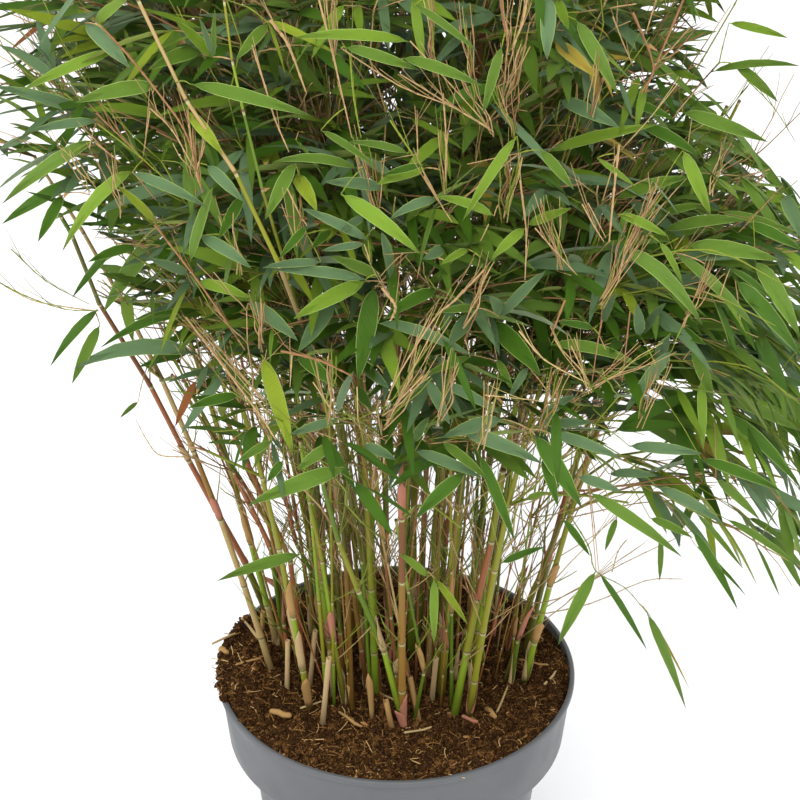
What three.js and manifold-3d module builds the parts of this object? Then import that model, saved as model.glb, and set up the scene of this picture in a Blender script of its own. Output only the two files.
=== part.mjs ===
// A clump of garden bamboo in a grey plastic nursery pot, as it is sold, in millimetres.
// +Z is up and -Y is the front. The origin is the centre of the pot's flat underside.
// The pot, its compost, every cane and every mass of foliage is a mesh of its own.
import * as THREE from "three";
import Module from "manifold-3d";

const wasm = await Module();
wasm.setup();

// Driving dimensions.
const GAP = 0.3; // clearance left between pieces that touch
const SLIVER = 0.05; // faces narrower than this are cleared away after a join

const POT = {
  height: 215,
  rimRadius: 140, // outer edge of the rolled lip
  lipHeight: 6,
  lipRounding: 1.5,
  collarTop: 137, // outer radius of the collar under the lip
  collarBottom: 131.8, // and at its foot
  collarHeight: 54, // from the lip's top down to the collar's foot
  shoulderHeight: 9, // the step in from the collar to the body
  bodyTop: 115,
  footRadius: 99,
  wall: 2.4,
  floor: 3.5,
  sides: 32,
};

const COMPOST = {
  top: 207, // level of the compost among the canes
  edgeDrop: 4, // it lies this much lower along the wall
  shoulder: 118, // radius where it starts to fall towards the wall
};

// Middle of the root crown, a little behind the pot's, and how much further out the canes at
// its left edge lean.
const CLUMP = { x: 3, y: 16, leftLean: 0.1 };

// Outline of all the foliage round the clump's middle: straight sides, then a rounded top.
const CROWN = { radius: 335, widestAt: 450, height: 1190, roundness: 0.6 };

// Rings of canes, from the edge of the root crown inwards. Angles are in degrees.
const RINGS = [
  {
    name: "outer",
    count: 10,
    seed: 100,
    phase: 14,
    spreadX: 102,
    spreadY: 74,
    lean: 9.5,
    arch: 15,
    joints: 8,
    enters: 5, // the joint at which the cane goes into its foliage
    internode: 66,
    radius: 3.3,
    fan: 80, // its twigs point at most this far off outwards
    twigs: 2, // from each joint of its stem in the foliage
  },
  {
    name: "middle",
    count: 8,
    seed: 200,
    phase: 30,
    spreadX: 60,
    spreadY: 42,
    lean: 5,
    arch: 13,
    joints: 10,
    enters: 4,
    internode: 73,
    radius: 3.5,
    fan: 110,
    twigs: 1,
  },
  {
    name: "inner",
    count: 4,
    seed: 300,
    phase: 60,
    spreadX: 24,
    spreadY: 18,
    lean: 2,
    arch: 10,
    joints: 11,
    enters: 6,
    internode: 79,
    radius: 3.7,
    fan: 180,
    twigs: 1,
  },
];

const CANE = {
  sides: 5,
  firstInternode: 0.55, // share of the usual spacing, at the foot
  lengthening: 0.25, // share that each next one gains, until it has the usual spacing
  archPower: 1.6, // above 1, most of the arch is near the tip
  slimming: 0.62, // share of the radius lost from foot to tip
  knuckle: 1.22, // swelling of the ridge at a joint
  groove: 0.93, // share of the radius just above the ridge
  knuckleLength: 3.5,
  waver: 0.035, // sideways wander of the heading at each joint, radians
  strays: { place: 0.15, size: 0.08, lean: 0.18, arch: 0.2, radius: 0.14 },
};

// Weeping side growth on the outer canes: the joint it leaves and how it falls.
const SKIRT = {
  ring: "outer",
  leavesAt: 4,
  lowSide: 0.6, // towards +X the clump is heavier: there it leaves a joint lower and hangs
  seed: 500,
  rise: 50, // degrees from the vertical as it leaves the cane
  fall: 24, // further degrees that it bends down to its tip
  lowFall: 50, // and where it hangs
  joints: 3,
  internode: 44,
  radius: 2.2,
  slimming: 0.35,
  fan: 90,
  twigs: 1,
  strays: { side: 0.45, tilt: 0.06, internode: 0.12 },
};

const TWIG = {
  radius: 1.7,
  spread: 52, // degrees from its stem
  length: 46,
  droop: 0.42, // pull towards the ground over its length
  innerLeaf: 0.85, // where its first leaf sits, as a share of the inner part
  outerLeaf: 0.8, // and its second, as a share of the outer part
  atTip: 2, // twigs from the tip of a stem
  attempts: 36, // places tried for them
  stray: 0.25,
};

const LEAF = {
  length: 112,
  width: 26,
  thickness: 1.8,
  widest: 0.36, // share of the length from its root
  sunk: 2.4, // depth of its root inside the twig
  splay: 42, // degrees from the twig
  roll: 38, // most that a blade turns about its length, in degrees
  hang: [0.2, 0.6], // least and most pull towards the ground where it leaves the twig
  droop: 0.45, // and further pull beyond its widest part
  stray: 0.1,
};

const FOLIAGE_SEED = 50; // added to a cane's own seed for the foliage on it
const FAN_STRAY = 0.3; // random part of a twig's place in its fan
const CLEAR = 0.8; // least distance between two pieces of foliage, or foliage and a cane
const MASS_OVERLAP = 72; // how far a mass may reach in among the leaves of the next

const UP = new THREE.Vector3(0, 0, 1);
const QUARTER = Math.PI / 2;
const GOLDEN_SHARE = (Math.sqrt(5) - 1) / 2;
const radians = THREE.MathUtils.degToRad;

const surface = (color, roughness) => new THREE.MeshStandardMaterial({ color, roughness, metalness: 0 });
const MATERIALS = {
  pot: surface("#6f7377", 0.45),
  compost: surface("#3a241a", 0.95),
  cane: surface("#7c8440", 0.45),
  foliage: surface("#3f7a2c", 0.5),
};

// Repeatable random numbers from 0 to 1.
function seeded(seed) {
  let state = seed >>> 0;
  return () => {
    state = (state + 0x6d2b79f5) >>> 0;
    let mixed = Math.imul(state ^ (state >>> 15), state | 1);
    mixed ^= mixed + Math.imul(mixed ^ (mixed >>> 7), mixed | 61);
    return ((mixed ^ (mixed >>> 14)) >>> 0) / 4294967296;
  };
}

// A number around 1 that strays up to `by` either way.
const vary = (random, by) => 1 + by * (2 * random() - 1);

// A heading as a unit vector: `tilt` from the vertical, towards `turn` in plan.
function heading(tilt, turn) {
  const across = Math.sin(tilt);
  return new THREE.Vector3(across * Math.cos(turn), across * Math.sin(turn), Math.cos(tilt));
}

// Closed solid through a row of rings of points. The first and last may be single points.
function loft(rings) {
  const triangles = [];
  const sides = rings[1].length;
  let start = 0;
  for (let level = 1; level < rings.length; level++) {
    const below = rings[level - 1].length;
    const next = start + below;
    for (let side = 0; side < sides; side++) {
      const across = (side + 1) % sides;
      if (below === 1) {
        triangles.push(start, next + across, next + side);
      } else if (rings[level].length === 1) {
        triangles.push(start + side, start + across, next);
      } else {
        triangles.push(start + side, start + across, next + across);
        triangles.push(start + side, next + across, next + side);
      }
    }
    start = next;
  }
  for (let side = 1; side < sides - 1; side++) {
    if (rings[0].length > 1) triangles.push(0, side + 1, side);
    if (rings.at(-1).length > 1) triangles.push(start, start + side, start + side + 1);
  }
  return new THREE.BufferGeometry().setFromPoints(rings.flat()).setIndex(triangles);
}

// Points spaced evenly round a centre, square to a direction that leans towards `turn` in plan.
function ringAround(centre, direction, radius, sides, turn) {
  const level = heading(QUARTER, turn + QUARTER);
  const aside = level.cross(direction).normalize();
  const onward = direction.clone().cross(aside);
  return Array.from({ length: sides }, (_, side) => {
    const angle = (2 * Math.PI * side) / sides;
    return centre
      .clone()
      .addScaledVector(aside, radius * Math.cos(angle))
      .addScaledVector(onward, radius * Math.sin(angle));
  });
}

// Geometry as a solid for joining, and a joined solid as geometry again.
function solidOf(geometry) {
  const vertProperties = new Float32Array(geometry.getAttribute("position").array);
  const triVerts = new Uint32Array(geometry.getIndex().array);
  return new wasm.Manifold(new wasm.Mesh({ numProp: 3, vertProperties, triVerts }));
}

function geometryOf(solid) {
  const { vertProperties, triVerts } = solid.getMesh();
  return new THREE.BufferGeometry()
    .setAttribute("position", new THREE.BufferAttribute(vertProperties, 3))
    .setIndex(new THREE.BufferAttribute(triVerts, 1));
}

// Joins pieces into one body, cuts `hollow` out of it if there is one, clears the slivers away
// and drops any scrap that fails to meet the rest.
function fused(pieces, hollow) {
  const joined = pieces.map(solidOf).reduce((whole, part) => whole.add(part));
  const cut = hollow ? joined.subtract(solidOf(hollow)) : joined;
  const bodies = cut.asOriginal().simplify(SLIVER).decompose();
  return geometryOf(bodies.reduce((most, body) => (body.volume() > most.volume() ? body : most)));
}

// The pot is one thin moulding: flat floor, tapered body, shoulder, collar and rolled lip.
// Its outer wall is a row of heights and radii, from the foot to the rim.
const COLLAR_FOOT = POT.height - POT.collarHeight;
const SHOULDER_FOOT = COLLAR_FOOT - POT.shoulderHeight;
const WALL = [
  [0, POT.footRadius],
  [SHOULDER_FOOT, POT.bodyTop],
  [COLLAR_FOOT, POT.collarBottom],
  [POT.height, POT.collarTop],
];

function wallRadius(height) {
  const above = Math.max(1, WALL.findIndex(([level]) => level >= height));
  const [lowHeight, lowRadius] = WALL[above - 1];
  const [highHeight, highRadius] = WALL[above];
  return THREE.MathUtils.mapLinear(height, lowHeight, highHeight, lowRadius, highRadius);
}

function turned(profile) {
  const points = profile.map(([radius, height]) => new THREE.Vector2(radius, height));
  return new THREE.LatheGeometry(points, POT.sides).rotateX(Math.PI / 2);
}

function potGeometry() {
  const lipFoot = POT.height - POT.lipHeight;
  const outside = [0, SHOULDER_FOOT, COLLAR_FOOT, lipFoot].map((height) => [wallRadius(height), height]);
  const lip = [
    [POT.rimRadius, lipFoot + POT.lipRounding],
    [POT.rimRadius, POT.height - POT.lipRounding],
    [POT.rimRadius - POT.lipRounding, POT.height],
  ];
  const inside = [POT.height, COLLAR_FOOT, SHOULDER_FOOT, POT.floor].map((height) => [
    wallRadius(height) - POT.wall,
    height,
  ]);
  return turned([[0, 0], ...outside, ...lip, ...inside, [0, POT.floor]]);
}

// The compost fills the pot and stands clear of its wall and floor.
function compostGeometry() {
  const foot = POT.floor + GAP;
  const side = [foot, SHOULDER_FOOT, COLLAR_FOOT, COMPOST.top - COMPOST.edgeDrop].map((height) => [
    wallRadius(height) - POT.wall - 2 * GAP,
    height,
  ]);
  return turned([[0, foot], ...side, [COMPOST.shoulder, COMPOST.top], [0, COMPOST.top]]);
}

const numbered = (index) => String(index + 1).padStart(2, "0");

// One cane of a ring, joint by joint: it leans outwards and arches more towards its tip.
function growCane(ring, index) {
  const random = seeded(ring.seed + index);
  const strays = CANE.strays;
  const place = index + strays.place * (2 * random() - 1);
  const turn = radians(ring.phase) + (2 * Math.PI * place) / ring.count;
  const size = vary(random, strays.size);
  const leftward = Math.max(0, -Math.cos(turn)) ** 4;
  const lean = radians(ring.lean) * (1 + CLUMP.leftLean * leftward) * vary(random, strays.lean);
  const arch = radians(ring.arch) * vary(random, strays.arch);
  const radius = ring.radius * vary(random, strays.radius);
  const tip = new THREE.Vector3(
    CLUMP.x + ring.spreadX * Math.cos(turn),
    CLUMP.y + ring.spreadY * Math.sin(turn),
    COMPOST.top + GAP,
  );
  const joints = [tip.clone()];
  let wander = turn;
  for (let joint = 0; joint < ring.joints; joint++) {
    const spacing = ring.internode * size * Math.min(1, CANE.firstInternode + CANE.lengthening * joint);
    const bend = arch * (joint / ring.joints) ** CANE.archPower;
    wander += CANE.waver * (2 * random() - 1);
    tip.addScaledVector(heading(lean + bend, wander), spacing);
    joints.push(tip.clone());
  }
  const radii = joints.map((_, joint) => radius * (1 - (CANE.slimming * joint) / ring.joints));
  return { name: `${ring.name}_${numbered(index)}`, index, ring, turn, joints, radii };
}

// The cane's solid up to its foliage, with a raised ridge at each joint, cut flat at the compost.
// A margin makes it thicker all over.
function caneGeometry(cane, margin = 0) {
  const { joints, radii, ring, turn } = cane;
  const extra = margin / Math.cos(Math.PI / CANE.sides);
  const ringAt = (centre, direction, radius) =>
    ringAround(centre, direction, radius + extra, CANE.sides, turn);
  const rings = [ringAt(joints[0], UP, radii[0])];
  for (let joint = 1; joint <= ring.enters; joint++) {
    const direction = joints[joint + 1].clone().sub(joints[joint - 1]).normalize();
    rings.push(ringAt(joints[joint], direction, radii[joint] * CANE.knuckle));
    if (joint < ring.enters) {
      const above = joints[joint].clone().addScaledVector(direction, CANE.knuckleLength);
      rings.push(ringAt(above, direction, radii[joint] * CANE.groove));
    }
  }
  return loft(rings);
}

// The stem inside a mass that carries on up a cane from where the cane enters it.
function crownStem(cane) {
  const points = cane.joints.slice(cane.ring.enters).map((point) => point.clone());
  const onward = points[1].clone().sub(points[0]).normalize();
  points[0].addScaledVector(onward, GAP);
  const radii = cane.radii.slice(cane.ring.enters);
  const seed = cane.ring.seed + FOLIAGE_SEED + cane.index;
  const { turn, ring } = cane;
  return { name: `foliage_${cane.name}`, seed, points, radii, turn, fan: ring.fan, twigs: ring.twigs };
}

// The stem of weeping side growth. It is drawn from the middle of an outer cane's joint, and
// the cane is then cut out of its foot.
function skirtStem(cane) {
  const random = seeded(SKIRT.seed + cane.index);
  const turn = cane.turn + SKIRT.strays.side * (2 * random() - 1);
  const hangs = Math.cos(cane.turn) > SKIRT.lowSide;
  const fall = hangs ? SKIRT.lowFall : SKIRT.fall;
  const place = cane.joints[SKIRT.leavesAt - (hangs ? 1 : 0)].clone();
  const points = [place.clone()];
  for (let step = 0; step < SKIRT.joints; step++) {
    const tilt = radians(SKIRT.rise + (fall * step) / (SKIRT.joints - 1));
    const spacing = SKIRT.internode * vary(random, SKIRT.strays.internode);
    place.addScaledVector(heading(tilt * vary(random, SKIRT.strays.tilt), turn), spacing);
    points.push(place.clone());
  }
  const radii = points.map((_, step) => SKIRT.radius * (1 - (SKIRT.slimming * step) / SKIRT.joints));
  const seed = SKIRT.seed + FOLIAGE_SEED + cane.index;
  const name = `foliage_skirt_${numbered(cane.index)}`;
  return { name, seed, points, radii, turn, fan: SKIRT.fan, twigs: SKIRT.twigs, carrier: cane };
}

function crownRadius(height) {
  const share = Math.max(0, height - CROWN.widestAt) / (CROWN.height - CROWN.widestAt);
  return CROWN.radius * Math.max(0, 1 - share ** 2) ** CROWN.roundness;
}

function stemDirection(stem, at) {
  const before = stem.points[Math.max(0, at - 1)];
  const after = stem.points[Math.min(stem.points.length - 1, at + 1)];
  return after.clone().sub(before).normalize();
}

// Shortest distance between two straight stretches, a to b and c to d.
function stretchDistance(a, b, c, d) {
  const u = b.clone().sub(a);
  const v = d.clone().sub(c);
  const w = a.clone().sub(c);
  const uu = u.dot(u);
  const uv = u.dot(v);
  const vv = v.dot(v);
  const uw = u.dot(w);
  const vw = v.dot(w);
  const skew = uu * vv - uv * uv;
  let s = skew > Number.EPSILON ? THREE.MathUtils.clamp((uv * vw - vv * uw) / skew, 0, 1) : 0;
  const t = THREE.MathUtils.clamp((uv * s + vw) / vv, 0, 1);
  s = THREE.MathUtils.clamp((uv * t - uw) / uu, 0, 1);
  return w.addScaledVector(u, s).addScaledVector(v, -t).length();
}

// A stretch is a straight piece of something, with the radius that holds it all.
const stretchesOf = (points, radius, owner) =>
  points.slice(1).map((to, at) => ({ from: points[at], to, radius, owner }));

function isClear(stretches, others) {
  return stretches.every((mine) =>
    others.every((other) => {
      const reach = mine.radius + other.radius + CLEAR;
      return stretchDistance(mine.from, mine.to, other.from, other.to) > reach;
    }),
  );
}

// Distance from a point to a stem, which is a row of points.
function distanceToLine(point, line) {
  const nearest = new THREE.Vector3();
  const distances = line.slice(1).map((to, at) => {
    new THREE.Line3(line[at], to).closestPointToPoint(point, true, nearest);
    return nearest.distanceTo(point);
  });
  return Math.min(...distances);
}

// Three corners of a section through a leaf or twig: flat below, with a ridge along the top.
function ridgedSection(centre, along, halfWidth, thickness, roll) {
  const across = along.clone().cross(UP).normalize().applyAxisAngle(along, roll);
  const above = across.clone().cross(along).normalize();
  return [
    centre.clone().addScaledVector(across, -halfWidth).addScaledVector(above, -thickness / 2),
    centre.clone().addScaledVector(above, thickness / 2),
    centre.clone().addScaledVector(across, halfWidth).addScaledVector(above, -thickness / 2),
  ];
}

// The blade beyond a leaf's neck: its widest section, then its drooping tip.
function makeBlade(neck, along, length, roll) {
  const belly = neck.clone().addScaledVector(along, LEAF.widest * length);
  const bent = along.clone().addScaledVector(UP, -LEAF.droop).normalize();
  const tip = belly.clone().addScaledVector(bent, (1 - LEAF.widest) * length);
  const halfWidth = (LEAF.width / 2) * (length / LEAF.length);
  const section = ridgedSection(belly, along, halfWidth, LEAF.thickness, roll);
  const edges = [section[0], belly, section[2]];
  const stretches = edges.flatMap((middle) => stretchesOf([neck, middle, tip], halfWidth / 2));
  return { rings: [section, [tip]], belly, tip, stretches };
}

// A leaf that comes to a point inside the twig that carries it.
function makeLeaf(seat, along, length, roll) {
  const root = seat.clone().addScaledVector(along, -LEAF.sunk);
  const blade = makeBlade(seat, along, length, roll);
  return { ...blade, geometry: loft([[root], ...blade.rings]) };
}

// A twig in two straight parts, the outer one drooping, that ends in a leaf of its own.
function makeTwig(root, along, length, leafLength, roll) {
  const elbow = root.clone().addScaledVector(along, length / 2);
  const outward = along.clone().addScaledVector(UP, -TWIG.droop).normalize();
  const end = elbow.clone().addScaledVector(outward, length / 2);
  const blade = makeBlade(end, outward, leafLength, roll);
  const section = (centre, direction, turned) => {
    const halfWidth = TWIG.radius * Math.cos(Math.PI / 6);
    return ridgedSection(centre, direction, halfWidth, TWIG.radius * 1.5, turned);
  };
  const sections = [section(root, along, 0), section(elbow, outward, roll / 2), section(end, outward, roll)];
  const rings = [...sections, ...blade.rings];
  const stretches = [...stretchesOf([root, elbow, end], TWIG.radius), ...blade.stretches];
  const seats = [root.clone().lerp(elbow, TWIG.innerLeaf), elbow.clone().lerp(end, TWIG.outerLeaf)];
  return { geometry: loft(rings), outward, seats, end, belly: blade.belly, tip: blade.tip, stretches };
}

// Twigs and leaves on one stem. Whatever would leave the mass's own space, which is what lies
// about nearer to its stem than to another, or would touch something else, is left out.
function growMass(stem, stems, taken) {
  const random = seeded(stem.seed);
  const core = stem.points.map((point, at) =>
    ringAround(point, stemDirection(stem, at), stem.radii[at], 3, stem.turn),
  );
  const pieces = [loft(core)];
  const others = taken.filter((stretch) => stretch.owner !== stem.name);
  const rivals = stems.filter((other) => other !== stem);
  const added = [];

  const keeps = (point) => {
    const own = distanceToLine(point, stem.points);
    const isOwn = rivals.every((rival) => distanceToLine(point, rival.points) > own - MASS_OVERLAP);
    return isOwn && Math.hypot(point.x - CLUMP.x, point.y - CLUMP.y) < crownRadius(point.z);
  };
  const add = (growth, ...points) => {
    if (!points.every(keeps) || !isClear(growth.stretches, others)) return false;
    pieces.push(growth.geometry);
    growth.stretches.forEach((stretch) => added.push({ ...stretch, owner: stem.name }));
    return true;
  };
  const leafLength = () => LEAF.length * vary(random, LEAF.stray);
  const rolled = () => radians(LEAF.roll) * (2 * random() - 1);
  const addLeaf = (seat, along) => {
    const leaf = makeLeaf(seat, along, leafLength(), rolled());
    return add(leaf, leaf.belly, leaf.tip);
  };
  const splayed = (along, side) =>
    along
      .clone()
      .applyAxisAngle(UP, side * radians(LEAF.splay) * vary(random, TWIG.stray))
      .addScaledVector(UP, -THREE.MathUtils.lerp(...LEAF.hang, random()))
      .normalize();
  const twigHeading = (onward, place) => {
    const across = 2 * ((place * GOLDEN_SHARE + FAN_STRAY * random()) % 1) - 1;
    const aside = heading(QUARTER, stem.turn + radians(stem.fan) * across);
    const spread = radians(TWIG.spread);
    const along = onward.clone().multiplyScalar(Math.cos(spread));
    return along.addScaledVector(aside, Math.sin(spread)).normalize();
  };

  const last = stem.points.length - 1;
  for (let joint = 1; joint <= last; joint++) {
    const onward = stemDirection(stem, joint);
    const wanted = joint < last ? stem.twigs : TWIG.atTip;
    for (let attempt = 0, grown = 0; attempt < TWIG.attempts && grown < wanted; attempt++) {
      const along = twigHeading(onward, joint + attempt);
      const length = TWIG.length * vary(random, TWIG.stray);
      const twig = makeTwig(stem.points[joint], along, length, leafLength(), rolled());
      if (!add(twig, twig.end, twig.belly, twig.tip)) continue;
      grown += 1;
      const side = random() < 0.5 ? -1 : 1;
      addLeaf(twig.seats[0], splayed(along, side));
      addLeaf(twig.seats[1], splayed(twig.outward, -side));
    }
  }
  addLeaf(stem.points[last], stemDirection(stem, last));
  taken.push(...added);
  return fused(pieces, stem.carrier && caneGeometry(stem.carrier, GAP));
}

const ringOfCanes = (ring) => Array.from({ length: ring.count }, (_, index) => growCane(ring, index));
const canes = RINGS.flatMap(ringOfCanes);
const skirted = canes.filter((cane) => cane.ring.name === SKIRT.ring);
const stems = [...canes.map(crownStem), ...skirted.map(skirtStem)];
const taken = [
  ...canes.flatMap((cane) => {
    const bare = cane.joints.slice(0, cane.ring.enters + 1);
    return stretchesOf(bare, cane.radii[0] * CANE.knuckle, cane.name);
  }),
  ...stems.flatMap((stem) => stretchesOf(stem.points, stem.radii[0], stem.name)),
];

const bamboo = new THREE.Group();

function addPiece(name, geometry, material) {
  const mesh = new THREE.Mesh(geometry, material);
  mesh.name = name;
  bamboo.add(mesh);
}

addPiece("pot", potGeometry(), MATERIALS.pot);
addPiece("compost", compostGeometry(), MATERIALS.compost);
canes.forEach((cane) => addPiece(`cane_${cane.name}`, caneGeometry(cane), MATERIALS.cane));
stems.forEach((stem) => addPiece(stem.name, growMass(stem, stems, taken), MATERIALS.foliage));

export default bamboo;
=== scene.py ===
import math

import bpy
import numpy as np
from mathutils import Matrix, Vector, noise


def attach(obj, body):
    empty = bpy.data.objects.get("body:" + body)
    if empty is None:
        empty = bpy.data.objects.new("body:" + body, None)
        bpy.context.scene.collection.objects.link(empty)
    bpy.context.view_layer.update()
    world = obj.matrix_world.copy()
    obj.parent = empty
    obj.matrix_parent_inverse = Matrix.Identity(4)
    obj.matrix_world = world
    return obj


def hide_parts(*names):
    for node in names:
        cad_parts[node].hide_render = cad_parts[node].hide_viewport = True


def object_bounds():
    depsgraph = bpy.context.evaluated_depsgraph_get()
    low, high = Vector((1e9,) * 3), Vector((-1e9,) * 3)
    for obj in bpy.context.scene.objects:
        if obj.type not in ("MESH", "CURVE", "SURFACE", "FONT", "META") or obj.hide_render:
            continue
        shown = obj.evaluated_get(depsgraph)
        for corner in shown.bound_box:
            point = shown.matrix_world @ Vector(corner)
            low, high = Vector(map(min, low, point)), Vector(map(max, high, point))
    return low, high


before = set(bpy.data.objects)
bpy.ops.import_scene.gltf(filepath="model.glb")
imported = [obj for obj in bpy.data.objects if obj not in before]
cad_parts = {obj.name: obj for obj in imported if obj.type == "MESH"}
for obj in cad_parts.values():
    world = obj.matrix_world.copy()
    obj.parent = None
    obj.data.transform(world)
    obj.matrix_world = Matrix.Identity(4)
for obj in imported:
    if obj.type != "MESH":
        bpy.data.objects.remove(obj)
cad_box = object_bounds()

# Camera. A full-frame camera with a 90 mm lens, a little above the crown and looking down at
# the rim of the pot, so that the plant fills the picture and its top runs out of it.
camera_data = bpy.data.cameras.new("camera")
camera_data.sensor_width = 36
camera_data.lens = 90
camera = bpy.data.objects.new("camera", camera_data)
camera.location = (0.003, -1.253, 1.165)
camera.rotation_euler = (math.radians(60.4), 0, 0)
bpy.context.scene.collection.objects.link(camera)
bpy.context.scene.camera = camera

# What the camera sees at a point of the 800 x 800 picture is found again in the plant: the
# point is sent out from the lens to an upright plane so many millimetres behind the pot's middle.
FOCAL_PIXELS = 2000
PICTURE_MIDDLE = 400
lens = Vector(camera.location) * 1000


def seen_at(across, down, depth):
    ray = Vector((across - PICTURE_MIDDLE, PICTURE_MIDDLE - down, -FOCAL_PIXELS))
    ray.rotate(camera.rotation_euler)
    return lens + ray * ((depth - lens.y) / ray.y)


# Floor and light. A matt white studio sweep under three large soft boxes: one in front and
# above, one at each side. The white floor and sky keep every shadow open.
def linear(hex_colour):
    channels = [int(hex_colour[at : at + 2], 16) / 255 for at in (1, 3, 5)]
    return tuple(c / 12.92 if c <= 0.04045 else ((c + 0.055) / 1.055) ** 2.4 for c in channels) + (1.0,)


def add_node(tree, kind, settings=None, inputs=None):
    """Adds a node, sets its properties, and sets or links its inputs."""
    added = tree.nodes.new(kind)
    for name, value in (settings or {}).items():
        setattr(added, name, value)
    for name, value in (inputs or {}).items():
        if isinstance(value, bpy.types.NodeSocket):
            tree.links.new(value, added.inputs[name])
        else:
            added.inputs[name].default_value = value
    return added


def new_material(name, colour, roughness, **shader):
    """A plain Principled material, and its tree and shader for those that add a pattern."""
    material = bpy.data.materials.new(name)
    material.use_nodes = True
    tree = material.node_tree
    principled = next(n for n in tree.nodes if n.type == "BSDF_PRINCIPLED")
    principled.inputs["Base Color"].default_value = linear(colour)
    principled.inputs["Roughness"].default_value = roughness
    for socket, value in shader.items():
        principled.inputs[socket.replace("_", " ")].default_value = value
    return material, tree, principled


def add_bump(tree, principled, height, strength, distance):
    values = {"Height": height, "Strength": strength, "Distance": distance}
    bump = add_node(tree, "ShaderNodeBump", inputs=values)
    tree.links.new(bump.outputs["Normal"], principled.inputs["Normal"])


FLOOR_SIZE = 8.0
bpy.ops.mesh.primitive_plane_add(size=FLOOR_SIZE)
floor = bpy.context.object
floor.name = "studio_floor"
floor_paint, _, _ = new_material("matt white sweep", "#f8f8f9", 0.9)
floor.data.materials.append(floor_paint)

world = bpy.data.worlds.new("white studio")
world.use_nodes = True
sky = next(n for n in world.node_tree.nodes if n.type == "BACKGROUND")
sky.inputs["Color"].default_value = linear("#fdfdff")
sky.inputs["Strength"].default_value = 1.0
bpy.context.scene.world = world
bpy.context.scene.view_settings.view_transform = "Standard"

SOFT_BOXES = {
    "front": {"place": (-0.4, -2.1, 2.9), "size": 2.2, "power": 78},
    "left": {"place": (-2.6, -0.2, 1.8), "size": 2.0, "power": 22},
    "right": {"place": (2.5, -0.6, 1.9), "size": 2.0, "power": 28},
}
LIT_POINT = Vector((0, 0, 0.45))
for name, box in SOFT_BOXES.items():
    light = bpy.data.lights.new(f"soft box {name}", "AREA")
    light.size = box["size"]
    light.energy = box["power"]
    lamp = bpy.data.objects.new(f"soft_box_{name}", light)
    lamp.location = box["place"]
    lamp.rotation_euler = (LIT_POINT - lamp.location).to_track_quat("-Z", "Y").to_euler()
    bpy.context.scene.collection.objects.link(lamp)

# Nursery pot. One thin injection moulding in recycled grey polypropylene: a recessed floor, a
# tapered body, a stepped shoulder, a collar and a rolled lip.
MM = 0.001
POT = {"height": 215, "rim": 138.8, "wall": 1.9, "floor": 3.5, "body_top": 115, "foot": 99}
COLLAR = {"top": 137, "foot": 131.8, "height": 54, "shoulder": 9}
POT_SIDES = 144
COLLAR_FOOT = POT["height"] - COLLAR["height"]
SHOULDER_FOOT = COLLAR_FOOT - COLLAR["shoulder"]


def wall_radius(height):
    levels = [0, SHOULDER_FOOT, COLLAR_FOOT, POT["height"]]
    radii = [POT["foot"], POT["body_top"], COLLAR["foot"], COLLAR["top"]]
    return float(np.interp(height, levels, radii))


def add_piece(name, points, faces, materials, slots=None, smooth=True):
    """A mesh object from points in millimetres and lists of corners, with a slot for each face."""
    mesh = bpy.data.meshes.new(name)
    mesh.from_pydata(np.asarray(points, dtype=float) * MM, [], faces)
    for material in materials:
        mesh.materials.append(material)
    if slots is not None:
        mesh.polygons.foreach_set("material_index", np.asarray(slots, dtype=np.int32))
    mesh.polygons.foreach_set("use_smooth", np.full(len(mesh.polygons), smooth))
    mesh.update()
    piece = bpy.data.objects.new(name, mesh)
    bpy.context.scene.collection.objects.link(piece)
    return piece


def lathe(profile, sides):
    """Points and faces of a closed profile of radii and heights that starts and ends on the axis."""
    turns = np.arange(sides) * 2 * math.pi / sides
    points = [(0, 0, profile[0][1])]
    for radius, height in profile[1:-1]:
        points += [(radius * math.cos(turn), radius * math.sin(turn), height) for turn in turns]
    points.append((0, 0, profile[-1][1]))
    faces = []
    for side in range(sides):
        after = (side + 1) % sides
        faces.append([0, 1 + after, 1 + side])
        for level in range(len(profile) - 3):
            low = 1 + level * sides
            faces.append([low + side, low + after, low + sides + after, low + sides + side])
        top = 1 + (len(profile) - 3) * sides
        faces.append([top + side, top + after, len(points) - 1])
    return points, faces


def arc(centre, radius, start, end, steps):
    """A rounding of a profile, from one angle to another in degrees, 0 being outwards."""
    angles = np.radians(np.linspace(start, end, steps))
    return [(centre[0] + radius * math.cos(a), centre[1] + radius * math.sin(a)) for a in angles]


def inner(height):
    return wall_radius(height) - POT["wall"]


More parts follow.
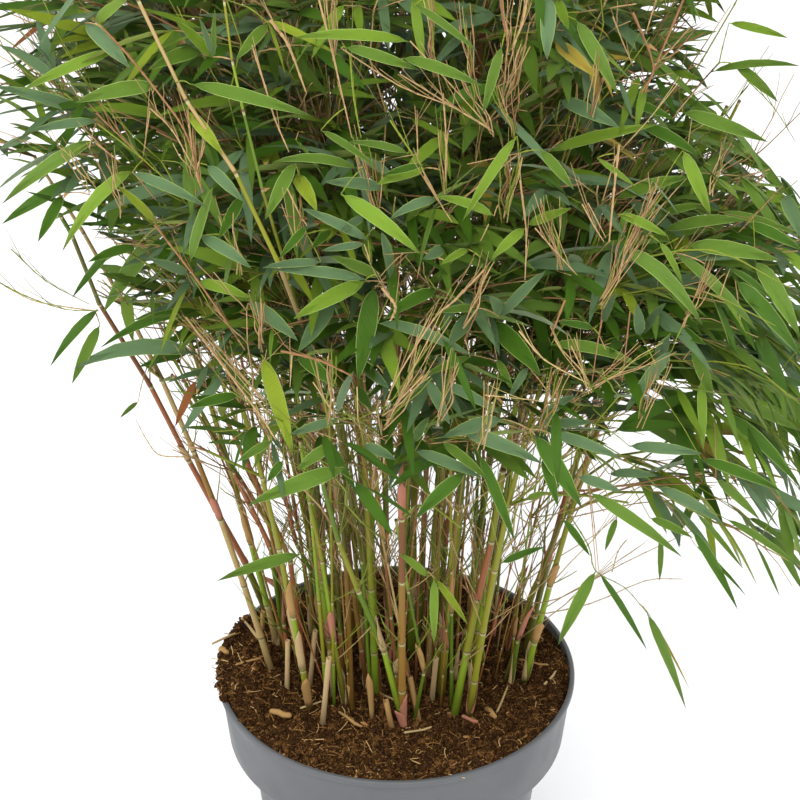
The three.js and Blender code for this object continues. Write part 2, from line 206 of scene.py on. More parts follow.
LIP_FOOT = POT["height"] - 5
LIP_ROUND = 1.8
FOOT_ROUND = 1.6
RECESS = 1.6
pot_profile = [
    (0, RECESS),
    (88, RECESS),
    (90, 0),
    *arc((POT["foot"] - FOOT_ROUND, FOOT_ROUND), FOOT_ROUND, -90, 0, 5),
    (wall_radius(60), 60),
    (wall_radius(110), 110),
    (wall_radius(SHOULDER_FOOT) - 0.1, SHOULDER_FOOT - 1.2),
    (wall_radius(SHOULDER_FOOT) + 0.9, SHOULDER_FOOT + 0.1),
    (wall_radius(COLLAR_FOOT) - 1.4, COLLAR_FOOT - 0.9),
    (wall_radius(COLLAR_FOOT) - 0.3, COLLAR_FOOT - 0.3),
    (wall_radius(COLLAR_FOOT), COLLAR_FOOT + 0.9),
    (wall_radius(185), 185),
    (wall_radius(LIP_FOOT) - 0.1, LIP_FOOT - 1.2),
    (wall_radius(LIP_FOOT), LIP_FOOT - 0.2),
    (POT["rim"] - 0.9, LIP_FOOT + 0.1),
    *arc((POT["rim"] - 0.9, LIP_FOOT + 1.0), 0.9, -60, 0, 3),
    *arc((POT["rim"] - LIP_ROUND, POT["height"] - LIP_ROUND), LIP_ROUND, 0, 90, 6),
    *arc((inner(POT["height"]) + 0.8, POT["height"] - 0.8), 0.8, 90, 180, 4),
    (inner(COLLAR_FOOT), COLLAR_FOOT),
    (inner(SHOULDER_FOOT), SHOULDER_FOOT),
    (inner(10), 10),
    (inner(10) - 3, POT["floor"] + 0.1),
    (0, POT["floor"] + 0.1),
]
# Moulded polypropylene with recycled content: mid grey, matt with a soft sheen, a fine even
# grain from the tool, and faint duller patches where it has been handled and has dried dirty.
polypropylene, tree, principled = new_material("grey moulded polypropylene", "#515355", 0.5)
place = add_node(tree, "ShaderNodeTexCoord").outputs["Object"]
grain = add_node(tree, "ShaderNodeTexNoise", inputs={"Vector": place, "Scale": 900.0, "Detail": 2.0})
handled = add_node(tree, "ShaderNodeTexNoise", inputs={"Vector": place, "Scale": 22.0, "Detail": 5.0})
spread = {"Value": handled.outputs["Fac"], "From Min": 0.35, "From Max": 0.7, "To Min": 0.4, "To Max": 0.6}
dulled = add_node(tree, "ShaderNodeMapRange", inputs=spread)
tree.links.new(dulled.outputs["Result"], principled.inputs["Roughness"])
add_bump(tree, principled, grain.outputs["Fac"], 0.25, 0.0002)

pot = add_piece("nursery_pot", *lathe(pot_profile, POT_SIDES), [polypropylene])
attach(pot, "root")
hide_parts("pot")

# Compost. A lumpy bed of dark composted bark and coir that fills the pot to just under its
# lip and is heaped a little at the left, with loose crumbs lying on it.
COMPOST = {"top": 207, "rings": 84, "sides": 232, "clear": 0.4}
compost_radius = inner(COMPOST["top"]) - COMPOST["clear"]


def ease(value, low, high):
    """0 below the low value, 1 above the high one, and a smooth rise between."""
    share = min(1, max(0, (value - low) / (high - low)))
    return share * share * (3 - 2 * share)


# How high its lumps and crumbs are, how far apart, and where each one's pattern starts.
BED_RELIEF = [(4.2, 21, (0, 0, 0)), (4.4, 9, (7, 3, 1)), (2.6, 4.2, (1, 8, 5)), (1.4, 1.9, (0, 0, 0))]
BED_DIP = 2.8
BANK = 8.5
HEAPED = {"x": -124, "y": -14, "width": 34, "height": 9, "over_lip": 3.0}
BELOW_LIP = 1.2


def compost_height(x, y):
    """The bed is banked up to the lip in front and heaped over it at the left."""
    out = math.hypot(x, y) / compost_radius
    place = Vector((x, y, 0))
    relief = sum(tall * noise.noise(place / wide + Vector(start)) for tall, wide, start in BED_RELIEF)
    forward = ease(-(0.6 * x + 0.8 * y) / compost_radius, -0.4, 0.5)
    banked = BANK * ease(out, 0.6, 0.97) * (0.62 + 0.38 * forward)
    away = (x - HEAPED["x"]) ** 2 + (y - HEAPED["y"]) ** 2
    heap = HEAPED["height"] * math.exp(-away / HEAPED["width"] ** 2)
    height = COMPOST["top"] - BED_DIP + relief + banked + heap
    return min(height, POT["height"] - BELOW_LIP + HEAPED["over_lip"] * min(1, heap / 5))


turns = np.arange(COMPOST["sides"]) * 2 * math.pi / COMPOST["sides"]
bed_points = [(0, 0, compost_height(0, 0))]
for ring in range(1, COMPOST["rings"] + 1):
    radius = compost_radius * ring / COMPOST["rings"]
    for turn in turns:
        x, y = radius * math.cos(turn), radius * math.sin(turn)
        bed_points.append((x, y, compost_height(x, y)))
bed_faces = []
for side in range(COMPOST["sides"]):
    after = (side + 1) % COMPOST["sides"]
    bed_faces.append([0, 1 + side, 1 + after])
    for ring in range(COMPOST["rings"] - 1):
        near = 1 + ring * COMPOST["sides"]
        far = near + COMPOST["sides"]
        bed_faces.append([near + side, far + side, far + after, near + after])

# At the left some has spilled over the lip.
SPILL = {"from": 152, "to": 198, "steps": 16, "inner": 134, "outer": 139.5, "layers": (215.4, 216.2, 217.0)}
ground_points, ground_faces = list(bed_points), list(bed_faces)
for height in SPILL["layers"]:
    start = len(ground_points)
    for turn in np.radians(np.linspace(SPILL["from"], SPILL["to"], SPILL["steps"])):
        for radius in (SPILL["inner"], SPILL["outer"]):
            ground_points.append((radius * math.cos(turn), radius * math.sin(turn), height))
    for near in range(start, len(ground_points) - 2, 2):
        ground_faces.append([near, near + 1, near + 3, near + 2])
ground = add_piece("compost_ground", ground_points, ground_faces, [])


def band(low, high, sides):
    """Faces between two rings of points, each given by its first point."""
    afters = [(side + 1) % sides for side in range(sides)]
    return [[low + side, low + after, high + after, high + side] for side, after in enumerate(afters)]


# Below its surface the bed follows the pot's wall, and rounds in where the wall meets the floor.
body_points, body_faces = list(bed_points), list(bed_faces)
upper = 1 + (COMPOST["rings"] - 1) * COMPOST["sides"]
floor_height = POT["floor"] + COMPOST["clear"]
for height, rounding in ((COLLAR_FOOT, 0), (SHOULDER_FOOT, 0), (floor_height, 2.4)):
    lower = len(body_points)
    radius = inner(height) - COMPOST["clear"] - rounding
    body_points += [(radius * math.cos(turn), radius * math.sin(turn), height) for turn in turns]
    body_faces += band(lower, upper, COMPOST["sides"])
    upper = lower
body_faces.append([upper + side for side in reversed(range(COMPOST["sides"]))])


# Composted bark: dark brown when moist and quite matt, a broken fibrous mass in which paler
# fibres fleck the dark peat every millimetre or so.
def peat(name, colour, fleck):
    material, tree, principled = new_material(name, colour, 0.9, Specular_IOR_Level=0.06)
    place = add_node(tree, "ShaderNodeTexCoord").outputs["Object"]
    uneven = {"Vector": place, "Scale": 620.0, "Detail": 6.0, "Roughness": 0.7, "Distortion": 1.2}
    broken = add_node(tree, "ShaderNodeTexNoise", inputs=uneven)
    paler = {"Value": broken.outputs["Fac"], "From Min": 0.46, "From Max": 0.66}
    flecked = add_node(tree, "ShaderNodeMapRange", inputs=paler)
    colours = {0: flecked.outputs["Result"], 6: linear(colour), 7: linear(fleck)}
    blend = add_node(tree, "ShaderNodeMix", {"data_type": "RGBA"}, colours)
    tree.links.new(blend.outputs[2], principled.inputs["Base Color"])
    add_bump(tree, principled, broken.outputs["Fac"], 1.0, 0.0022)
    return material


compost_dark = peat("moist composted bark", "#26160a", "#76522c")
compost_mid = peat("brown coir", "#472c15", "#a07442")
compost_red = peat("reddish bark crumbs", "#744a24", "#c79a63")
compost = add_piece("compost_bed", body_points, body_faces, [compost_dark])
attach(compost, "root")
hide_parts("compost")


def strew(name, shape, sizes, density, rough, material, seed, lie=1.0):
    """Strews a small shape over the bed by Geometry Nodes, and makes the result a plain piece."""
    values = {
        "Density": ("Float", density),
        "Smallest": ("Vector", [size * MM for size in sizes[0]]),
        "Largest": ("Vector", [size * MM for size in sizes[1]]),
        "Tilt": ("Float", lie),
        "Roughness": ("Float", rough * MM),
        "Seed": ("Int", seed),
    }
    tree = bpy.data.node_groups.new(name, "GeometryNodeTree")
    tree.interface.new_socket(name="Ground", in_out="INPUT", socket_type="NodeSocketGeometry")
    for label, (kind, _) in values.items():
        tree.interface.new_socket(name=label, in_out="INPUT", socket_type=f"NodeSocket{kind}")
    tree.interface.new_socket(name="Strewn", in_out="OUTPUT", socket_type="NodeSocketGeometry")

    def step(kind, output, settings=None, **inputs):
        return add_node(tree, kind, settings, inputs).outputs[output]

    def scaled(vector, factor):
        inputs = {0: vector, "Scale": factor}
        return add_node(tree, "ShaderNodeVectorMath", {"operation": "SCALE"}, inputs).outputs[0]

    def drawn(low, high):
        vectors = {"data_type": "FLOAT_VECTOR"}
        return step("FunctionNodeRandomValue", "Value", vectors, Min=low, Max=high, Seed=given["Seed"])

    given = add_node(tree, "NodeGroupInput").outputs
    points = step(
        "GeometryNodeDistributePointsOnFaces",
        "Points",
        Mesh=given["Ground"],
        Density=given["Density"],
        Seed=given["Seed"],
    )
    tilt = step("ShaderNodeCombineXYZ", "Vector", X=given["Tilt"], Y=given["Tilt"], Z=math.pi)
    placed = step(
        "GeometryNodeInstanceOnPoints",
        "Instances",
        Points=points,
        Instance=shape(tree),
        Rotation=drawn(scaled(tilt, -1.0), tilt),
        Scale=drawn(given["Smallest"], given["Largest"]),
    )
    real = step("GeometryNodeRealizeInstances", "Geometry", Geometry=placed)
    uneven = step("ShaderNodeTexNoise", "Color", Scale=330.0, Detail=1.0)
    halves = {0: uneven, 1: (0.5, 0.5, 0.5)}
    centred = add_node(tree, "ShaderNodeVectorMath", {"operation": "SUBTRACT"}, halves).outputs[0]
    moved = step(
        "GeometryNodeSetPosition", "Geometry", Geometry=real, Offset=scaled(centred, given["Roughness"])
    )
    worn = step("GeometryNodeSetMaterial", "Geometry", Geometry=moved, Material=material)
    add_node(tree, "NodeGroupOutput", inputs={"Strewn": worn})

    holder = bpy.data.objects.new(name, ground.data.copy())
    bpy.context.scene.collection.objects.link(holder)
    modifier = holder.modifiers.new("strewn", "NODES")
    modifier.node_group = tree
    for socket in tree.interface.items_tree:
        if socket.in_out == "INPUT" and socket.name in values:
            modifier[socket.identifier] = values[socket.name][1]
    evaluated = holder.evaluated_get(bpy.context.evaluated_depsgraph_get())
    mesh = bpy.data.meshes.new_from_object(evaluated)
    bpy.data.objects.remove(holder)
    piece = bpy.data.objects.new(name, mesh)
    bpy.context.scene.collection.objects.link(piece)
    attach(piece, "root")
    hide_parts("compost")


def crumb(tree, roundness=1):
    shape = {"Radius": 1.0, "Subdivisions": roundness}
    return add_node(tree, "GeometryNodeMeshIcoSphere", inputs=shape).outputs["Mesh"]


def lump(tree):
    return crumb(tree, 2)


# Each has its smallest and largest half sizes in millimetres, how many lie on a square metre, how
# uneven it is in millimetres, what it is made of, and its seed.
strew("compost_crumbs_dark", crumb, ((0.6, 0.6, 0.5), (2.0, 1.8, 1.5)), 66000, 1.2, compost_dark, 1)
strew("compost_crumbs_brown", crumb, ((0.5, 0.5, 0.4), (1.7, 1.5, 1.2)), 60000, 1.1, compost_mid, 2)
strew("compost_crumbs_red", crumb, ((0.4, 0.4, 0.3), (1.4, 1.1, 0.9)), 24000, 0.9, compost_red, 3)
strew("compost_lumps", lump, ((1.8, 1.6, 1.3), (4.6, 3.8, 3.2)), 9000, 4.2, compost_dark, 4)
strew("compost_clods", lump, ((1.6, 1.4, 1.1), (4.4, 3.6, 3.0)), 4500, 4.2, compost_mid, 9)

# Bark chips and straw. Bits of bark, broken stalk and coir fibre that came with the compost
# and have dried pale on top of it.
bark_chip, _, _ = new_material("dry pine bark", "#a07748", 0.85, Specular_IOR_Level=0.1)
straw_dry, _, _ = new_material("dry straw", "#cdaa72", 0.7, Specular_IOR_Level=0.2)
fibre_brown, _, _ = new_material("coir fibre", "#946d3e", 0.8, Specular_IOR_Level=0.1)


def stalk(tree):
    """A slightly bowed stalk one unit long each way, with four sides."""
    bow = {"Resolution": 4, "Start": (-1, 0, 0), "Middle": (0.1, 0.5, 0.16), "End": (1, 0, 0)}
    middle = add_node(tree, "GeometryNodeCurveQuadraticBezier", inputs=bow).outputs["Curve"]
    square = {"Resolution": 4, "Radius": 1.0}
    section = add_node(tree, "GeometryNodeCurvePrimitiveCircle", inputs=square).outputs["Curve"]
    size = {"Geometry": section, "Scale": (0.05, 0.05, 0.05)}
    narrow = add_node(tree, "GeometryNodeTransform", inputs=size).outputs["Geometry"]
    swept = {"Curve": middle, "Profile Curve": narrow, "Fill Caps": True}
    return add_node(tree, "GeometryNodeCurveToMesh", inputs=swept).outputs["Mesh"]


strew("coir_fibres", stalk, ((2, 2.5, 3), (7, 7, 6)), 15000, 1.5, fibre_brown, 5, lie=0.6)
strew("straw_bits", stalk, ((2, 3, 4), (9, 8, 8)), 2600, 0.8, straw_dry, 6, lie=0.4)
strew("bark_chips", lump, ((0.8, 0.5, 0.3), (3.4, 1.7, 0.9)), 900, 1.8, bark_chip, 7, lie=0.5)
strew("bark_flakes", crumb, ((0.5, 0.4, 0.2), (1.8, 1.0, 0.5)), 5500, 1.0, fibre_brown, 8, lie=0.5)

# Canes. Living culms of a clump-forming bamboo, 2 to 7 mm thick, that rise from the compost and
# fan outwards. Each is a row of internodes with a sheath scar and a raised ridge at each joint.
GAP = 0.3
CLUMP = {"x": 3, "y": 16, "left_lean": 0.1}
RINGS = {
    "outer": dict(count=10, seed=100, phase=14, spread=(102, 74), lean=9.5, arch=15, fan=80),
    "middle": dict(count=8, seed=200, phase=30, spread=(60, 42), lean=5, arch=13, fan=110),
    "inner": dict(count=4, seed=300, phase=60, spread=(24, 18), lean=2, arch=10, fan=180),
}
STEMS = {
    "outer": dict(joints=8, enters=5, internode=66, radius=3.3),
    "middle": dict(joints=10, enters=4, internode=73, radius=3.5),
    "inner": dict(joints=11, enters=6, internode=79, radius=3.7),
}
# Younger, thinner canes stand between the others in each ring, and so do dead ones that have
# lost their leaves and end lower down.
YOUNG_STRAYS = {"place": 0.5, "size": 0.16, "lean": 0.7, "arch": 0.35, "radius": 0.34, "cross": 0.9}
YOUNG = {
    "outer": dict(count=20, seed=1100, phase=27, radius=1.7, joints=7, enters=5, closer=0.86),
    "middle": dict(count=19, seed=1200, phase=8, radius=1.8, joints=9, enters=4, closer=0.9),
    "inner": dict(count=11, seed=1300, phase=20, radius=2.0, joints=10, enters=5, closer=1.2),
}
DEAD = {
    "outer": dict(count=15, seed=1500, phase=3, radius=1.0, joints=6, enters=6, closer=0.8),
    "middle": dict(count=12, seed=1600, phase=19, radius=1.0, joints=5, enters=5, closer=0.95),
    "inner": dict(count=5, seed=1700, phase=40, radius=1.1, joints=4, enters=4, closer=1.3),
}
CANE = {"first_internode": 0.55, "lengthening": 0.25, "arch_power": 1.6, "slimming": 0.62, "waver": 0.035}
CANE_STRAYS = {"place": 0.15, "size": 0.08, "lean": 0.18, "arch": 0.2, "radius": 0.14}
UP = Vector((0, 0, 1))
LEVEL = math.pi / 2
WORD = 0xFFFFFFFF


def seeded(seed):
    """Repeatable random numbers from 0 to 1."""
    state = seed & WORD

    def draw():
        nonlocal state
        state = (state + 0x6D2B79F5) & WORD
        mixed = ((state ^ (state >> 15)) * (state | 1)) & WORD
        mixed ^= (mixed + ((mixed ^ (mixed >> 7)) * (mixed | 61))) & WORD
        return ((mixed ^ (mixed >> 14)) & WORD) / 4294967296

    return draw


def vary(random, by):
    return 1 + by * (2 * random() - 1)


def between(random, low, high):
    return low + (high - low) * random()


def pick(random, *choices):
    return choices[int(random() * len(choices))]


def heading(tilt, turn):
    across = math.sin(tilt)
    return Vector((across * math.cos(turn), across * math.sin(turn), math.cos(tilt)))


def grow_cane(group, ring, index):
    random = seeded(ring["seed"] + index)
    strays = ring["strays"]
    step = index + strays["place"] * (2 * random() - 1)
    turn = math.radians(ring["phase"]) + 2 * math.pi * step / ring["count"]
    size = vary(random, strays["size"])
    leftward = max(0, -math.cos(turn)) ** 4
    lean = math.radians(ring["lean"]) * (1 + CLUMP["left_lean"] * leftward) * vary(random, strays["lean"])
    arch = math.radians(ring["arch"]) * vary(random, strays["arch"])
    radius = ring["radius"] * vary(random, strays["radius"])
    wide, deep = ring["spread"]
    x, y = CLUMP["x"] + wide * math.cos(turn), CLUMP["y"] + deep * math.sin(turn)
    joints = [Vector((x, y, COMPOST["top"] + GAP))]
    wander = turn + (strays["cross"] * (2 * random() - 1) if "cross" in strays else 0)
    for joint in range(ring["joints"]):
        spacing = ring["internode"] * size * min(1, CANE["first_internode"] + CANE["lengthening"] * joint)
        bend = arch * (joint / ring["joints"]) ** CANE["arch_power"]
        wander += CANE["waver"] * (2 * random() - 1)
        joints.append(joints[-1] + heading(lean + bend, wander) * spacing)
    radii = [radius * (1 - CANE["slimming"] * joint / ring["joints"]) for joint in range(len(joints))]
    return {"ring": ring, "group": group, "index": index, "turn": turn, "joints": joints, "radii": radii}


def grow_canes(changes, strays):
    """Canes of the three rings, with these counts and sizes, and so uneven."""
    grown = []
    for group in RINGS:
        ring = {**RINGS[group], **STEMS[group], **changes[group], "strays": strays}
        ring["spread"] = [spread * ring.get("closer", 1) for spread in ring["spread"]]
        grown += [grow_cane(group, ring, index) for index in range(ring["count"])]
    return grown


canes = grow_canes(STEMS, CANE_STRAYS)
young_canes = grow_canes(YOUNG, YOUNG_STRAYS)
dead_canes = grow_canes(DEAD, YOUNG_STRAYS)

# Bamboo wood under a waxy skin: smooth and a little glossy, with fine ribs along it. Sun and
# age turn it from green through yellow to a terracotta flush, and a pale bloom lies under
# each joint. Each internode has one of these plain colours.
CANE_TONES = {
    "leaf green": "#566d1c",
    "yellow green": "#7d7e24",
    "bright green": "#7a9127",
    "olive": "#5f5e24",
    "amber": "#83632c",
    "straw": "#a28a5a",
    "terracotta": "#935b3a",
    "red brown": "#744a2a",
    "pale bloom": "#a59f70",
    "brown scar": "#6e5a3a",
}
TONE_NAMES = list(CANE_TONES)
BLOOM = TONE_NAMES.index("pale bloom")
SCAR = TONE_NAMES.index("brown scar")


def cane_skin(name, colour):
    material, tree, principled = new_material(f"bamboo skin {name}", colour, 0.42, Specular_IOR_Level=0.2)
    place = add_node(tree, "ShaderNodeTexCoord").outputs["Object"]
    drawn_out = add_node(tree, "ShaderNodeMapping", inputs={"Vector": place, "Scale": (1400, 1400, 40)})
    ribs = add_node(tree, "ShaderNodeTexNoise", inputs={"Vector": drawn_out.outputs["Vector"], "Scale": 1.0})
    add_bump(tree, principled, ribs.outputs["Fac"], 0.35, 0.0004)
    return material


cane_skins = [cane_skin(name, colour) for name, colour in CANE_TONES.items()]


class Heap:
    """Points, faces and slots of many small closed shapes that become one mesh."""

    def __init__(self):
        self.points, self.faces, self.slots, self.count = [], [], [], 0

    def add(self, points, faces, slots):
        self.points.append(np.asarray(points, dtype=float))
        self.faces.extend([[corner + self.count for corner in face] for face in faces])
        self.slots.extend(slots)
        self.count += len(points)

    def piece(self, name, materials):
        return add_piece(name, np.concatenate(self.points), self.faces, materials, self.slots)


def tube(heap, line, radii, sides, slots):
    """A closed tube along a line of points, with a radius at each and a slot for each stretch."""
    line = np.array([tuple(point) for point in line])
    along = np.gradient(line, axis=0)
    along /= np.linalg.norm(along, axis=1)[:, None]
    whole = line[-1] - line[0]
    aside = np.array([-whole[1], whole[0], 0.0])
    length = np.linalg.norm(aside)
    aside = aside / length if length > 0.02 * np.linalg.norm(whole) else np.array([1.0, 0.0, 0.0])
    right = aside - along * (along @ aside)[:, None]
    right /= np.linalg.norm(right, axis=1)[:, None]
    above = np.cross(along, right)
    turns = np.arange(sides) * 2 * math.pi / sides
    ring = np.cos(turns)[None, :, None] * right[:, None, :] + np.sin(turns)[None, :, None] * above[:, None, :]
    points = line[:, None, :] + ring * np.asarray(radii)[:, None, None]
    faces, face_slots = [], []
    for level in range(len(line) - 1):
        faces += band(level * sides, (level + 1) * sides, sides)
        face_slots += [slots[level]] * sides
    end = (len(line) - 1) * sides
    faces.append(list(reversed(range(sides))))
    faces.append([end + side for side in range(sides)])
    heap.add(points.reshape(-1, 3), faces, face_slots + [slots[0], slots[-1]])


# Distances along the cane from a joint, radius there as a share of the cane's, and the slot
# of the stretch above: None takes the internode's own colour.
JOINT_RINGS = [
    (-8.0, 1.0, None),
    (-3.0, 1.0, BLOOM),
    (-1.0, 1.03, SCAR),
    (-0.3, 1.13, SCAR),
    (0.5, 1.1, None),
    (1.1, 1.04, None),
    (2.4, 1.11, None),
    (4.6, 0.97, None),
    (8.0, 0.94, None),
]
CANE_SINK = 14.0
# The canes look a little slimmer than the solids that stand for them.
CANE_SHOWN = 0.86


def draw_cane(heap, cane, first, last, sides, tones):
    """The cane from one joint to another. Its foot is sunk in the compost."""
    joints = cane["joints"]
    radii = [CANE_SHOWN * radius for radius in cane["radii"]]
    line, widths, slots = [joints[first]], [radii[first]], [tones[first]]
    if first == 0:
        line = [joints[0] - (joints[1] - joints[0]).normalized() * CANE_SINK]
        widths = [radii[0] * 1.08]
    for joint in range(first + 1, last + 1):
        before = (joints[joint] - joints[joint - 1]).normalized()
        is_last = joint == last
        after = before if is_last else (joints[joint + 1] - joints[joint]).normalized()
        for offset, share, slot in JOINT_RINGS:
            if is_last and offset > 1:
                break
            line.append(joints[joint] + (before if offset < 0 else after) * offset)
            widths.append(radii[joint] * share)
            own = tones[joint - 1] if offset < 0 or is_last else tones[joint]
            slots.append(own if slot is None else slot)
    tube(heap, line, widths, sides, slots[: len(line) - 1])


CANE_KINDS = [
    (0.4, "yellow green", "bright green"),
    (0.66, "leaf green", "yellow green"),
    (0.84, "olive", "terracotta"),
    (0.95, "amber", "red brown"),
    (1, "straw", "amber"),
]


def cane_tones(cane, random):
    """A colour for each internode: most of a cane keeps one, and some internodes flush."""
    kind = random()
    usual, flushed = next((usual, flushed) for below, usual, flushed in CANE_KINDS if kind < below)
    names = [flushed if random() < 0.34 else usual for _ in cane["joints"]]
    if random() < 0.15:
        names[0] = "straw"
    return [TONE_NAMES.index(name) for name in names]


tone_random = seeded(31)
for group in ("outer", "middle", "inner"):
    heap = Heap()
    for cane in canes:
        if cane["group"] == group:
            cane["tones"] = cane_tones(cane, tone_random)
            draw_cane(heap, cane, 0, cane["ring"]["enters"], 10, cane["tones"])
    piece = heap.piece(f"canes_{group}", cane_skins)
    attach(piece, "root")
    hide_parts(*(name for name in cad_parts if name.startswith(f"cane_{group}")))

# Canes that stand out at the front. Each has its radius at the foot, the colour of each internode
# in turn, and its joints in the picture, with a depth behind the pot's middle.
NOTED_CANES = [
    (3.4, "olive, terracotta, terracotta, terracotta, red brown, olive, leaf green, leaf green",
     (272, 615, 70), (245, 562, 62), (216, 510, 52), (188, 459, 42), (150, 385, 20), (99, 303, -20),
     (72, 235, -60), (60, 215, -70)),
    (2.2, "yellow green, amber, terracotta, olive, leaf green, leaf green",
     (284, 640, 40), (277, 545, 30), (268, 522, 26), (240, 478, 12), (205, 425, -5), (172, 375, -20)),
    (2.6, "terracotta, amber, terracotta, amber, olive",
     (306, 650, -5), (290, 560, -20), (262, 497, -30), (236, 440, -40), (215, 395, -52)),
    (1.9, "olive, leaf green, terracotta, terracotta, amber, olive",
     (315, 640, 10), (310, 569, 2), (296, 543, 0), (288, 507, -6), (270, 456, -14), (257, 402, -26)),
    (2.1, "leaf green, terracotta, terracotta, leaf green, yellow green, leaf green",
     (286, 640, 24), (270, 545, 16), (250, 504, 12), (233, 471, 8), (215, 435, 2), (183, 380, -8)),
    (2.3, "yellow green, bright green, yellow green, bright green, leaf green",
     (345, 700, -34), (334, 640, -40), (322, 560, -50), (309, 500, -60), (300, 440, -72)),
    (2.9, "bright green, leaf green, yellow green, leaf green, olive",
     (404, 722, -60), (384, 650, -66), (358, 590, -74), (338, 540, -82), (322, 480, -94)),
    (3.6, "bright green, yellow green, terracotta, yellow green, leaf green",
     (454, 712, -48), (467, 650, -50), (478, 598, -52), (492, 540, -54), (503, 470, -60)),
    (1.7, "leaf green, leaf green, bright green, leaf green",
     (414, 718, -54), (424, 672, -56), (408, 590, -64), (396, 520, -74)),
    (2.0, "leaf green, yellow green, olive, amber, olive",
     (510, 682, -12), (522, 620, -8), (545, 560, 0), (572, 500, 6), (596, 440, 10)),
    (2.4, "amber, olive, amber, straw, yellow green, straw, straw, straw",
     (352, 690, -40), (346, 560, -24), (334, 440, -40), (308, 340, -150), (278, 262, -270),
     (235, 172, -258), (186, 100, -238), (138, 0, -212)),
    (1.6, "leaf green, olive, leaf green, yellow green, leaf green, bright green, yellow green, leaf green",
     (372, 700, -50), (362, 560, -34), (336, 420, -80), (290, 282, -200), (262, 188, -264),
     (243, 110, -250), (232, 60, -240), (224, 0, -230)),
]
noted_canes = []
for radius, names, *spots in NOTED_CANES:
    joints = [seen_at(*spot) for spot in spots]
    joints[0].z = COMPOST["top"] - 4
    radii = [radius * max(0.5, 1 - 0.09 * at) for at in range(len(joints))]
    tones = [TONE_NAMES.index(name) for name in names.split(", ")]
    noted_canes.append({"joints": joints, "radii": radii, "tones": tones})

heap = Heap()
for cane in noted_canes:
    draw_cane(heap, cane, 0, len(cane["joints"]) - 1, 10, cane["tones"])
for cane in young_canes:
    cane["tones"] = cane_tones(cane, tone_random)
    draw_cane(heap, cane, 0, cane["ring"]["enters"], 8, cane["tones"])
for cane in dead_canes:
    dry = pick(tone_random, "straw", "amber", "olive", "terracotta")
    cane["tones"] = [TONE_NAMES.index(dry)] * len(cane["joints"])
    draw_cane(heap, cane, 0, cane["ring"]["enters"], 6, cane["tones"])
piece = heap.piece("canes_young", cane_skins)
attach(piece, "root")

# Cane sheaths. Papery husks, tan to dull pink, that wrap the foot of an internode and come to a
# loose point. They stay on the lower joints for a year or two.
SHEATH_ROWS = 6
SHEATH_COLUMNS = 8
SHEATH_GAP = 0.35
SHEATH_THICKNESS = 0.22
SHEATHS_END = 440
SHEATH_TONES = {"husk tan": "#a3804f", "husk pink": "#a66f59", "husk pale": "#b0976c"}
husks = [new_material(name, colour, 0.8, Specular_IOR_Level=0.15)[0] for name, colour in SHEATH_TONES.items()]


def draw_sheath(heap, foot, along, radius, length, facing, slot, loose):
    """A closed thin shell that wraps the cane and narrows to a loose tip."""
    aside = heading(LEVEL, facing)
    aside = (aside - along * along.dot(aside)).normalized()
    across = along.cross(aside)
    outer, inside = [], []
    for row in range(SHEATH_ROWS):
        share = row / (SHEATH_ROWS - 1)
        wrap = math.radians(330) * (1 - share) ** 0.7 + 0.12
        middle = foot + along * (length * share)
        out = radius + SHEATH_GAP + loose * share**2
        for column in range(SHEATH_COLUMNS):
            angle = wrap * (column / (SHEATH_COLUMNS - 1) - 0.5)
            spoke = aside * math.cos(angle) + across * math.sin(angle)
            outer.append(middle + spoke * (out + SHEATH_THICKNESS))
            inside.append(middle + spoke * out)
    count = len(outer)
    grid = np.arange(count).reshape(SHEATH_ROWS, SHEATH_COLUMNS).tolist()
    faces = []
    for low, high in zip(grid, grid[1:]):
        for column in range(SHEATH_COLUMNS - 1):
            face = [low[column], low[column + 1], high[column + 1], high[column]]
            faces += [face, [count + corner for corner in reversed(face)]]
    border = grid[0] + [row[-1] for row in grid[1:-1]] + grid[-1][::-1] + [row[0] for row in grid[-2:0:-1]]
    for corner, after in zip(border, border[1:] + border[:1]):
        faces.append([after, corner, count + corner, count + after])
    heap.add([tuple(point) for point in outer + inside], faces, [slot] * len(faces))


random = seeded(61)
heap = Heap()
for cane in canes + young_canes + noted_canes:
    joints = cane["joints"]
    for joint in range(min(5, len(joints) - 1)):
        if joints[joint].z > SHEATHS_END or random() > (0.4 if joint < 3 else 0.25):
            continue
        whole = joints[joint + 1] - joints[joint]
        along = whole.normalized()
        length = min(0.9 * whole.length, between(random, 14, 44))
        foot = joints[joint] + along * (1.5 if joint else 0)
        radius = cane["radii"][joint] * CANE_SHOWN
        facing = between(random, 0, 2 * math.pi)
        slot = int(random() * len(husks))
        draw_sheath(heap, foot, along, radius, length, facing, slot, between(random, 0.1, 2.2))
piece = heap.piece("cane_sheaths", husks)
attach(piece, "root")

# Cut stubs. Old canes that were cut off low, dried to a pale tan and split, with their hollow
# showing at the top. Each is its foot in the picture, its radius and its height.
STUB_SIDES = 10
STUB_WIDTHS = (1.1, 0.94, 1, 0.94, 0.62, 0.5)
STUBS = [
    (287, 690, 2.3, 44), (310, 684, 2.3, 50), (323, 720, 2.5, 56), (333, 692, 2.1, 42),
    (391, 724, 2.6, 24), (418, 716, 2.4, 38), (432, 698, 2.5, 44), (362, 668, 2.2, 44),
    (352, 705, 2.0, 18), (262, 632, 2.2, 20), (470, 690, 1.9, 26), (446, 660, 2.0, 40),
    (265, 622, 1.9, 15),
]


def on_compost(across, down):
    """Where the camera's line through a point of the picture meets the bed."""
    place = seen_at(across, down, 0)
    return lens + (place - lens) * ((COMPOST["top"] - lens.z) / (place.z - lens.z))


